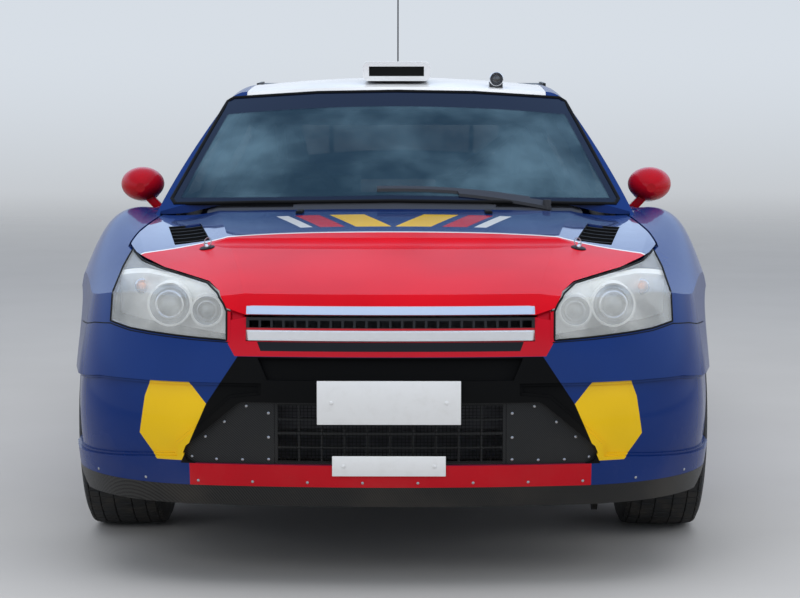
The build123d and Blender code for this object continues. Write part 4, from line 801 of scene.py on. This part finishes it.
def along(outline, step):
    """Points on a line of straight runs, no further apart than step."""
    result = [outline[0]]
    for start, end in zip(outline, outline[1:]):
        count = max(1, math.ceil(math.dist(start, end) / step))
        result += [tuple(a + (b - a) * i / count for a, b in zip(start, end)) for i in range(1, count + 1)]
    return result


# Tyres

# One wall and half the tread, as radius and distance from the tyre's middle plane, then the bead
TYRE_HALF = [(0.2305, 0.1020), (0.2420, 0.1075), (0.2560, 0.1100), (0.2570, 0.1112), (0.2610, 0.1112),
             (0.2620, 0.1104), (0.2850, 0.1116), (0.3020, 0.1080), (0.3130, 0.1010), (0.3180, 0.0900),
             (0.3200, 0.0620), (0.3208, 0.0240)]
TYRE_BEAD = [(0.2240, -0.0940), (0.2240, 0.0940)]
TREAD_START_RADIUS = 0.3145
TREAD_BLOCKS_ROUND = 80
GROOVE_HALF_WIDTH = 0.0024
GROOVE_DEPTH = 0.0042


def make_tyre(corner, x, y):
    """Carcass with rounded walls and a raised rib, and rows of tread blocks with sloped sides."""
    profile = TYRE_HALF + [(radius, -across) for radius, across in TYRE_HALF[::-1]] + TYRE_BEAD
    form = turned(profile, TREAD_BLOCKS_ROUND, ring=True)
    blocks = []
    for face in form.faces:
        middle = face.calc_center_median()
        if math.hypot(middle.x, middle.y) > TREAD_START_RADIUS:
            blocks.append(face)
    bmesh.ops.inset_individual(form, faces=blocks, thickness=GROOVE_HALF_WIDTH, depth=GROOVE_DEPTH,
                               use_even_offset=True)
    placed(form, Matrix.Translation((x, y, WHEEL_Z)) @ SIDEWAYS)
    tyre = sharpen(finished(form, f"{corner}_treaded_tyre", "tyre_rubber", f"wheel_{corner}"), 24)
    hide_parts(f"tyre_{corner}")


for end, axle_y in (("front", FRONT_AXLE_Y), ("rear", REAR_AXLE_Y)):
    for side, sign in SIDES.items():
        make_tyre(f"{end}_{side}", sign * WHEEL_X, axle_y)


# Headlamps

# Turned shapes of a lamp unit, as a share of its radius and a height along its axis
BOWL = [(0, -0.034), (0.45, -0.032), (0.75, -0.022), (0.92, -0.008), (1.0, 0.0), (1.07, 0.0),
        (1.07, -0.006), (1.0, -0.010), (0.90, -0.040), (0, -0.042)]
DOME = [(0, 0.006), (0.18, 0.005), (0.34, 0.001), (0.46, -0.006), (0.52, -0.014), (0.52, -0.030),
        (0, -0.030)]
RING = [(0.60, 0.001), (0.66, 0.004), (0.72, 0.001), (0.72, -0.020), (0.60, -0.022)]
MARKER_X = 0.655
MARKER_Z = 0.727


def unit_pieces(name, finish, shape, back, ring=False):
    """The same turned shape in every lamp unit, scaled by the unit's radius."""
    forms = []
    for x, z, radius, rim_y in LAMP_UNITS:
        for sign in SIDES.values():
            form = turned([(share * radius, height) for share, height in shape], 40, ring)
            forms.append(placed(form, Matrix.Translation((sign * x, rim_y + back, z)) @ FORWARD))
    sharpen(finished(joined(forms), name, finish, "shell", clean=False), 40)


unit_pieces("lamp_bowls", "reflector", BOWL, -0.002)
unit_pieces("projector_lenses", "projector_glass", DOME, -0.004)
unit_pieces("projector_rings", "chrome", RING, -0.004, ring=True)

lamp_back = surface_of("headlamps")
marker_places = [Matrix.Translation(from_front(lamp_back, sign * MARKER_X, MARKER_Z)[0]) @ FORWARD
                 for sign in SIDES.values()]
turned_piece("marker_bulbs", "amber_bulb", "shell",
             [(0, 0.030), (0.006, 0.028), (0.010, 0.020), (0.011, 0.008), (0.011, -0.002), (0, -0.002)],
             marker_places, 24)
turned_piece("marker_bezels", "chrome", "shell",
             [(0.0115, 0.004), (0.016, 0.007), (0.021, 0.003), (0.021, -0.001), (0.0115, -0.001)],
             marker_places, 24, ring=True)


# Seals round the lamps, and a dark line along the bumper's shut line under them that is painted shade of
# the gap

LAMP_MIDDLE = (0.562, 0.700)
LAMP_SEAL_SHARE = (0.995, 0.992)
SEAM_SINK = Vector((0, 0.0008, 0))


def shrunk(outline, middle, share):
    """An outline drawn in towards its middle by a share in each direction."""
    return [tuple(m + (p - m) * s for p, m, s in zip(point, middle, share)) for point in outline]


def laid_on(tree, outline, sign=1, limit=math.inf):
    """The points of an outline seen from ahead, on the surface behind them and ahead of y = limit."""
    points = [from_front(tree, sign * x, z, limit)[0] for x, z in outline]
    return [point for point in points if point is not None]


lamp_front = surface_of("headlamp_lenses", "front_fender_left", "front_fender_right", "front_bumper")
lamp_edge = along(LAMP_OUTLINE + LAMP_OUTLINE[:1], 0.012)[:-1]
for side, sign in SIDES.items():
    rim = laid_on(lamp_front, shrunk(lamp_edge, LAMP_MIDDLE, LAMP_SEAL_SHARE), sign, LAMP_REAR_Y)
    strip(f"lamp_seal_{side}", "seal_rubber", "shell", rim, 0.0026, closed=True)
    # Painted shade: a thin black tube laid along the bumper's shut line, standing in for the shade in the
    # gap
    seam_shade = laid_on(lamp_front, along(BUMPER_SEAM, 0.015), sign, SEAM_REAR_Y)
    strip(f"bumper_seam_{side}", "seal_rubber", "shell", [point + SEAM_SINK for point in seam_shade], 0.0016)


# Flange of the bumper that closes the corner under the bonnet

FLANGE_MIDDLE = (0.3800, 0.6835)
FLANGE_HALF_SIZE = (0.0180, 0.0160)
FLANGE_SKIN_HEIGHTS = (0.660, 0.708)
FLANGE_SINK = Vector((0, 0.0090, 0))


def make_flange(side, sign):
    """Thin return of the bumper's top edge, seen through the shut line beside the grille."""
    skin = surface_of("front_bumper", "bonnet", "front_fender_left")
    low, high = FLANGE_SKIN_HEIGHTS
    form = bmesh.new()
    bmesh.ops.create_grid(form, x_segments=6, y_segments=4, size=1.0)
    for corner in form.verts:
        x = FLANGE_MIDDLE[0] + FLANGE_HALF_SIZE[0] * corner.co.x
        z = FLANGE_MIDDLE[1] + FLANGE_HALF_SIZE[1] * corner.co.y
        foot, head = (from_front(skin, x, height)[0] for height in FLANGE_SKIN_HEIGHTS)
        corner.co = foot.lerp(head, (z - low) / (high - low)) + FLANGE_SINK
        corner.co.x *= sign
    bmesh.ops.solidify(form, geom=form.faces[:], thickness=0.0015)
    finished(form, f"bumper_flange_{side}", "bumper_livery", "shell")


for side, sign in SIDES.items():
    make_flange(side, sign)


# Windscreen seal

SCREEN_MIDDLE = (0.0, 1.07)
SCREEN_SEAL_SHARE = (0.994, 0.982)

left_half = along(SCREEN_OUTLINE, 0.02)
screen_edge = left_half + [(-x, z) for x, z in left_half[::-1][1:-1]]
screen_rim = laid_on(surface_of("windscreen"), shrunk(screen_edge, SCREEN_MIDDLE, SCREEN_SEAL_SHARE))
strip("windscreen_seal", "seal_rubber", "shell", screen_rim, 0.0055, closed=True)


# Number plates, left blank

PLATE_THICKNESS = 0.003
PLATE_X = -0.003
SCREW = [(0, 0.0035), (0.003, 0.0032), (0.0048, 0.0018), (0.0052, 0), (0, 0)]
SCREW_SHARE = 0.40


def make_plate(name, body, width, height, place, turn=FORWARD):
    """Blank plate with its edges rounded, and two capped screws on the side that turn gives."""
    form = box_form((width, PLATE_THICKNESS, height), place, 0.0012)
    sharpen(finished(form, name, "plate_sheet", body))
    face = Matrix.Translation(place) @ turn
    places = [face @ Matrix.Translation((sign * width * SCREW_SHARE, 0, PLATE_THICKNESS / 2))
              for sign in SIDES.values()]
    turned_piece(name + "_screws", "plate_sheet", body, SCREW, places, 16)


nose = surface_of("front_bumper", "intake_grille", "splitter")
front_y = from_front(nose, 0.0, 0.500)[0].y
low_y = from_front(nose, 0.0, 0.305)[0].y
back_y = first_met(surface_of("tailgate"), (0, FAR_BEHIND, 0.668), (0, -1, 0))[0].y
make_plate("front_plate", "shell", 0.353, 0.108, (PLATE_X, front_y - 0.0025, 0.474))
make_plate("small_plate", "shell", 0.279, 0.050, (PLATE_X, low_y - 0.0022, 0.3175))
make_plate("rear_plate", "tailgate", 0.440, 0.062, (0, back_y + 0.002, 0.666), REARWARD)


# Rivets of the carbon panels and of the bumper's foot

RIVET = [(0, 0.0022), (0.0022, 0.0018), (0.0036, 0.0006), (0.0038, -0.0005), (0, -0.0005)]
PANEL_RIVETS = [(0.300, 0.330), (0.300, 0.385), (0.300, 0.445), (0.365, 0.328), (0.430, 0.328),
                (0.492, 0.333), (0.355, 0.462), (0.410, 0.422), (0.458, 0.384)]
FOOT_RIVETS = 12
FOOT_RIVET_PITCH = 0.136
FOOT_RIVET_RISE = 0.010
FOOT_SEARCH = [0.230 + step * 0.002 for step in range(60)]


def foot_rivet(tree, x):
    """Place of a rivet just above the lower edge of the bumper's skin."""
    for z in FOOT_SEARCH:
        edge = from_front(tree, x, z, BUMPER_REAR_Y)[0]
        if edge is not None:
            return standing(*from_front(tree, x, edge.z + FOOT_RIVET_RISE))


panel = surface_of("intake_grille")
bumper_skin = surface_of("front_bumper")
rivet_places = [standing(*from_front(panel, sign * x, z, PANEL_REAR_Y))
                for x, z in PANEL_RIVETS for sign in SIDES.values()]
rivet_places += [foot_rivet(bumper_skin, (index - (FOOT_RIVETS - 1) / 2) * FOOT_RIVET_PITCH)
                 for index in range(FOOT_RIVETS)]
turned_piece("panel_rivets", "steel", "shell", RIVET, rivet_places, 10)


# Wheel housings

HOUSING_RADIUS = 0.398
HOUSING_Z = 0.300
HOUSING_START = 8.0
HOUSING_STEPS = 30
HOUSING_STEP = 164.0 / HOUSING_STEPS
SHEET = 0.002
INNER_WING_X = 0.449
INNER_WING = [(-1.600, 0.472), (-0.912, 0.472), (-0.912, 0.740), (-1.060, 0.752), (-1.380, 0.725),
              (-1.600, 0.660)]
# Outer and inner distance from the car's middle, and the first and last step of the arc
FRONT_STRIPS = [(0.790, 0.650, 0, 30), (0.826, 0.790, 3, 30), (0.846, 0.826, 5, 17),
                (0.856, 0.846, 8, 14), (0.650, 0.4525, 7, 12), (0.650, 0.4525, 19, 26)]
REAR_PROFILE = [(HOUSING_RADIUS, 0.772), (HOUSING_RADIUS, 0.5035), (0.215, 0.5035)]


def make_housing(name, sign, axle_y, strips):
    """Liner turned round the wheel, open below. strips: radii and distances from the car's middle, and
    the first and last step of the strip's arc, counted from the rear."""
    form = bmesh.new()
    middle, axis = (0, axle_y, HOUSING_Z), (1, 0, 0)
    for profile, first, last in strips:
        rim = [form.verts.new((sign * x, axle_y + radius, HOUSING_Z)) for radius, x in profile]
        edges = [form.edges.new(pair) for pair in zip(rim, rim[1:])]
        turn = math.radians(HOUSING_START + first * HOUSING_STEP)
        bmesh.ops.rotate(form, cent=middle, matrix=Matrix.Rotation(turn, 3, "X"), verts=rim)
        bmesh.ops.spin(form, geom=rim + edges, cent=middle, axis=axis, steps=last - first,
                       angle=math.radians((last - first) * HOUSING_STEP), use_merge=False)
    bmesh.ops.remove_doubles(form, verts=form.verts, dist=0.0001)
    sharpen(finished(thickened(form, SHEET), name, "satin_black", "shell"))


def make_inner_wing(name, sign):
    """Sheet that stands on the front rail between the wheel and the engine, clear of the bonnet."""
    form = bmesh.new()
    form.faces.new([form.verts.new((sign * INNER_WING_X, y, z)) for y, z in INNER_WING])
    thickened(form, SHEET)
    bmesh.ops.bevel(form, geom=form.edges[:], offset=0.0006, segments=1, affect="EDGES", profile=0.5,
                    material=-1)
    sharpen(finished(form, name, "satin_black", "shell"))


front_arcs = [([(HOUSING_RADIUS, outer), (HOUSING_RADIUS, inner)], first, last)
              for outer, inner, first, last in FRONT_STRIPS]
for side, sign in SIDES.items():
    make_housing(f"front_housing_{side}", sign, FRONT_AXLE_Y, front_arcs)
    make_inner_wing(f"inner_wing_{side}", sign)
    make_housing(f"rear_housing_{side}", sign, REAR_AXLE_Y, [(REAR_PROFILE, 0, HOUSING_STEPS)])


# Fine net over the intake's bars

NET_HALF_WIDTH = 0.277
NET_HEIGHTS = (0.3205, 0.4705)
NET_MARGIN = 0.03
NET_LIFT = Vector((0, -0.0009, 0))


def make_intake_net():
    """Fine woven net that lies on the front of the intake's bars."""
    form = bmesh.new()
    bmesh.ops.create_grid(form, x_segments=60, y_segments=17, size=1.0)
    for corner in form.verts:
        x, level = corner.co.x * NET_HALF_WIDTH, (corner.co.y + 1) / 2
        foot, head = (from_front(panel, x, z)[0] for z in NET_HEIGHTS)
        corner.co = foot.lerp(head, NET_MARGIN + (1 - 2 * NET_MARGIN) * level) + NET_LIFT
    bmesh.ops.wireframe(form, faces=form.faces[:], thickness=0.0016, offset=0.0, use_replace=True,
                        use_boundary=True, use_even_offset=True)
    finished(form, "intake_net", "satin_black", "shell", smooth=False, clean=False)


make_intake_net()


# Roof camera's tube and lens

CAMERA_PLACE = [Matrix.Translation((0.321, -0.426, 1.283)) @ FORWARD]
turned_piece("camera_tube", "chrome", "shell",
             [(0.0192, -0.060), (0.0222, -0.060), (0.0226, -0.054), (0.0226, 0.002), (0.0212, 0.005),
              (0.0194, 0.002)], CAMERA_PLACE, 32, ring=True)
turned_piece("camera_lens", "lens_black", "shell",
             [(0, 0.0035), (0.006, 0.0028), (0.011, 0.0008), (0.0135, -0.0015), (0, -0.0015)],
             CAMERA_PLACE, 32)


# Bonnet pins and washer nozzles

PIN_X = 0.502
PIN_Y = -1.550
NOZZLE_X = 0.272
NOZZLE_Y = -1.148
CLIP_RADIUS = 0.013
CLIP_WIRE = 0.0013
CLIP_CORNERS = [a * math.tau / 8 for a in range(8)]
CLIP = [(CLIP_RADIUS + CLIP_WIRE * math.cos(a), CLIP_WIRE * math.sin(a)) for a in CLIP_CORNERS]

lid = surface_of("bonnet")
pin_places = [standing(*from_above(lid, sign * PIN_X, PIN_Y)) for sign in SIDES.values()]
turned_piece("bonnet_pin_plates", "satin_black", "bonnet",
             [(0, 0.004), (0.010, 0.004), (0.019, 0.003), (0.021, 0.001), (0.021, -0.001), (0, -0.001)],
             pin_places, 28)
turned_piece("bonnet_pins", "chrome", "bonnet",
             [(0, 0.020), (0.0035, 0.019), (0.0045, 0.015), (0.0030, 0.012), (0.0045, 0.009),
              (0.0055, 0.004), (0.0055, 0), (0, 0)], pin_places, 18)
clip_turn = Matrix.Translation((0, 0.006, 0.0145)) @ Matrix.Rotation(math.radians(62), 4, "X")
turned_piece("bonnet_pin_clips", "steel", "bonnet", CLIP, [place @ clip_turn for place in pin_places],
             24, ring=True)
nozzles = joined(placed(box_form((0.020, 0.030, 0.011), (0, 0, 0.003), 0.004, 3),
                        standing(*from_above(lid, sign * NOZZLE_X, NOZZLE_Y)))
                 for sign in SIDES.values())
finished(nozzles, "washer_nozzles", "satin_black", "bonnet", clean=False)


# Mirror glasses

# Half the width, half the height and a scale of one for the thickness
MIRROR_SIZE = (0.054, 0.046, 1.0)
MIRROR_SINK = 0.0005

for side in SIDES:
    low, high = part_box(f"mirror_{side}")
    middle = Vector(((low[0] + high[0]) / 2, high[1] - MIRROR_SINK, (low[2] + high[2]) / 2))
    form = turned([(0, 0.0012), (0.9, 0.0012), (1.0, 0.0002), (1.0, -0.001), (0, -0.001)], 48)
    bmesh.ops.scale(form, vec=MIRROR_SIZE, verts=form.verts)
    placed(form, Matrix.Translation(middle) @ REARWARD)
    sharpen(finished(form, f"mirror_glass_{side}", "chrome", f"door_{side}"))


# Seats: sewn pads and webbing

PAD_ROUNDING = 0.35
PAD_CROWN = 0.28
PAD_PULL_X = 0.03
PAD_PULL_Y = 0.02
CHANNEL_DEPTH = 0.008
CHANNEL_WIDTH = 0.007
BASE_PAD = (0.290, 0.330, 0.055)
BASE_CHANNELS = (-0.25, 0.0, 0.25)
BACK_PAD = (0.290, 0.420, 0.055)
BACK_CHANNELS = (-0.3, -0.1, 0.1, 0.3)
BELT_WIDTH = 0.072
BELT_THICKNESS = 0.0025
BELT_OFFSET = 0.085
# Down from the shoulder bar to the lap, as y and z
BELT_PATH = [(0.262, 0.860), (0.218, 0.790), (0.170, 0.640), (0.122, 0.460), (0.080, 0.398)]


def make_pad(name, size, place, tilt, channels):
    """Crowned pad whose sides pull in, with sewn channels, turned back by tilt degrees."""
    width, depth, height = size
    form = box_form(size, bevel=height * PAD_ROUNDING, segments=3)
    bmesh.ops.subdivide_edges(form, edges=form.edges[:], cuts=5, use_grid_fill=True)
    for vertex in form.verts:
        across, back = vertex.co.x / (width / 2), vertex.co.y / (depth / 2)
        crown = max(0.0, 1 - across * across) * max(0.0, 1 - back * back)
        if vertex.co.z > 0:
            groove = sum(math.exp(-((vertex.co.y - share * depth) / CHANNEL_WIDTH) ** 2)
                         for share in channels)
            vertex.co.z += height * PAD_CROWN * crown - CHANNEL_DEPTH * groove * crown ** 0.3
        vertex.co.x *= 1 - PAD_PULL_X * (1 - back * back)
        vertex.co.y *= 1 - PAD_PULL_Y * (1 - across * across)
    placed(form, Matrix.Translation(place) @ Matrix.Rotation(math.radians(tilt), 4, "X"))
    pad = finished(form, name, "seat_cloth", "shell")


def make_strap(name, x):
    """Flat webbing that follows the belt's path."""
    form = bmesh.new()
    rows = [[form.verts.new((x + edge, y, z)) for edge in (-BELT_WIDTH / 2, BELT_WIDTH / 2)]
            for y, z in along(BELT_PATH, 0.03)]
    for (a, b), (c, d) in zip(rows, rows[1:]):
        form.faces.new((a, b, d, c))
    finished(thickened(form, BELT_THICKNESS), name, "belt_webbing", "shell")


for side, sign in SIDES.items():
    x = sign * SEAT_X
    make_pad(f"seat_base_pad_{side}", BASE_PAD, (x, -0.030, 0.334), -2, BASE_CHANNELS)
    make_pad(f"seat_back_pad_{side}", BACK_PAD, (x, 0.196, 0.560), -105, BACK_CHANNELS)
    for offset in (-BELT_OFFSET, BELT_OFFSET):
        label = "outer" if offset * sign > 0 else "inner"
        make_strap(f"shoulder_belt_{side}_{label}", x + offset)


# Stage, light and camera

FLOOR_HALF_SIZE = 90
CAMERA_LENS = 95.9
CAMERA_SPOT = (0.063, -7.3, 1.2)
CAMERA_TILT = 84.80
CAMERA_TURN = 0.43


def add_floor():
    """Pale even floor that fades out away from the car."""
    form = bmesh.new()
    bmesh.ops.create_grid(form, x_segments=1, y_segments=1, size=FLOOR_HALF_SIZE)
    floor = new_object("floor", as_mesh(form, "floor"))
    net, end = new_material("floor_grey")
    place = net.place()
    tone = net.ramp(net.noise(place, 1.2, 4.0), 0.3, 0.7)
    length = net.filled("ShaderNodeVectorMath", {0: place}, "Value", operation="LENGTH")
    near = net.ramp(length, 4.0, 24.0, 1.0, 0.0)
    color = net.mix(tone, (0.50, 0.49, 0.475), (0.52, 0.51, 0.495))
    net.put(end, net.shader(color, 0.85, Specular_IOR_Level=0.1, Alpha=near))
    floor.data.materials.append(bpy.data.materials["floor_grey"])


def add_world():
    """Even soft light, with a pale sky above a grey horizon for the camera, paint and glass to show."""
    world = bpy.data.worlds.new("studio")
    bpy.context.scene.world = world
    world.use_nodes = True
    net = Net(world.node_tree)
    world.node_tree.nodes.clear()
    end = net.node("ShaderNodeOutputWorld")
    path = net.node("ShaderNodeLightPath").outputs
    height = net.split(net.node("ShaderNodeTexCoord").outputs["Generated"])["Z"]
    rise = net.ramp(height, 0.02, 0.80)
    air = net.ramp(height, -0.12, 0.03)
    haze = net.both(net.ramp(height, 0.10, 0.24), net.ramp(height, 0.38, 0.60, 1.0, 0.0))
    sky = net.mix(haze, net.mix(rise, (0.68, 0.73, 0.79), (0.32, 0.48, 0.80)), (0.85, 1.08, 1.45))
    seen = net.filled("ShaderNodeBackground", {0: net.mix(air, (0.42, 0.42, 0.42), sky), 1: 1.0})
    level = net.filled("ShaderNodeBackground", {0: (0.84, 0.90, 1.0), 1: 0.74})
    mirrored = net.either(path["Is Glossy Ray"], path["Is Transmission Ray"])
    direct = net.either(path["Is Camera Ray"], mirrored)
    net.put(end.inputs[0], net.filled("ShaderNodeMixShader", {0: direct, 1: level, 2: seen}))


def add_lamp(name, place, target, size, power):
    """Soft square lamp whose own outline stays out of the paint and glass."""
    data = bpy.data.lights.new(name, "AREA")
    data.shape = "RECTANGLE"
    data.size, data.size_y = size
    data.energy = power
    lamp = new_object(name, data)
    lamp.location = place
    lamp.rotation_euler = (Vector(target) - Vector(place)).to_track_quat("-Z", "Y").to_euler()
    lamp.visible_glossy = False


def add_camera():
    data = bpy.data.cameras.new("camera")
    data.lens = CAMERA_LENS
    camera = new_object("camera", data)
    camera.location = CAMERA_SPOT
    camera.rotation_euler = (math.radians(CAMERA_TILT), 0, math.radians(CAMERA_TURN))
    bpy.context.scene.camera = camera


add_floor()
add_world()
add_camera()
add_lamp("top_light", (0.0, -1.0, 6.5), (0, 0, 0), (8.0, 8.0), 250)
add_lamp("front_light", (-4.5, -8.0, 4.0), (0, -1.0, 0.6), (4.0, 3.0), 120)
add_lamp("side_light", (6.0, -3.0, 3.2), (0, -0.5, 0.6), (4.0, 3.0), 80)
bpy.context.scene.view_settings.view_transform = "Standard"
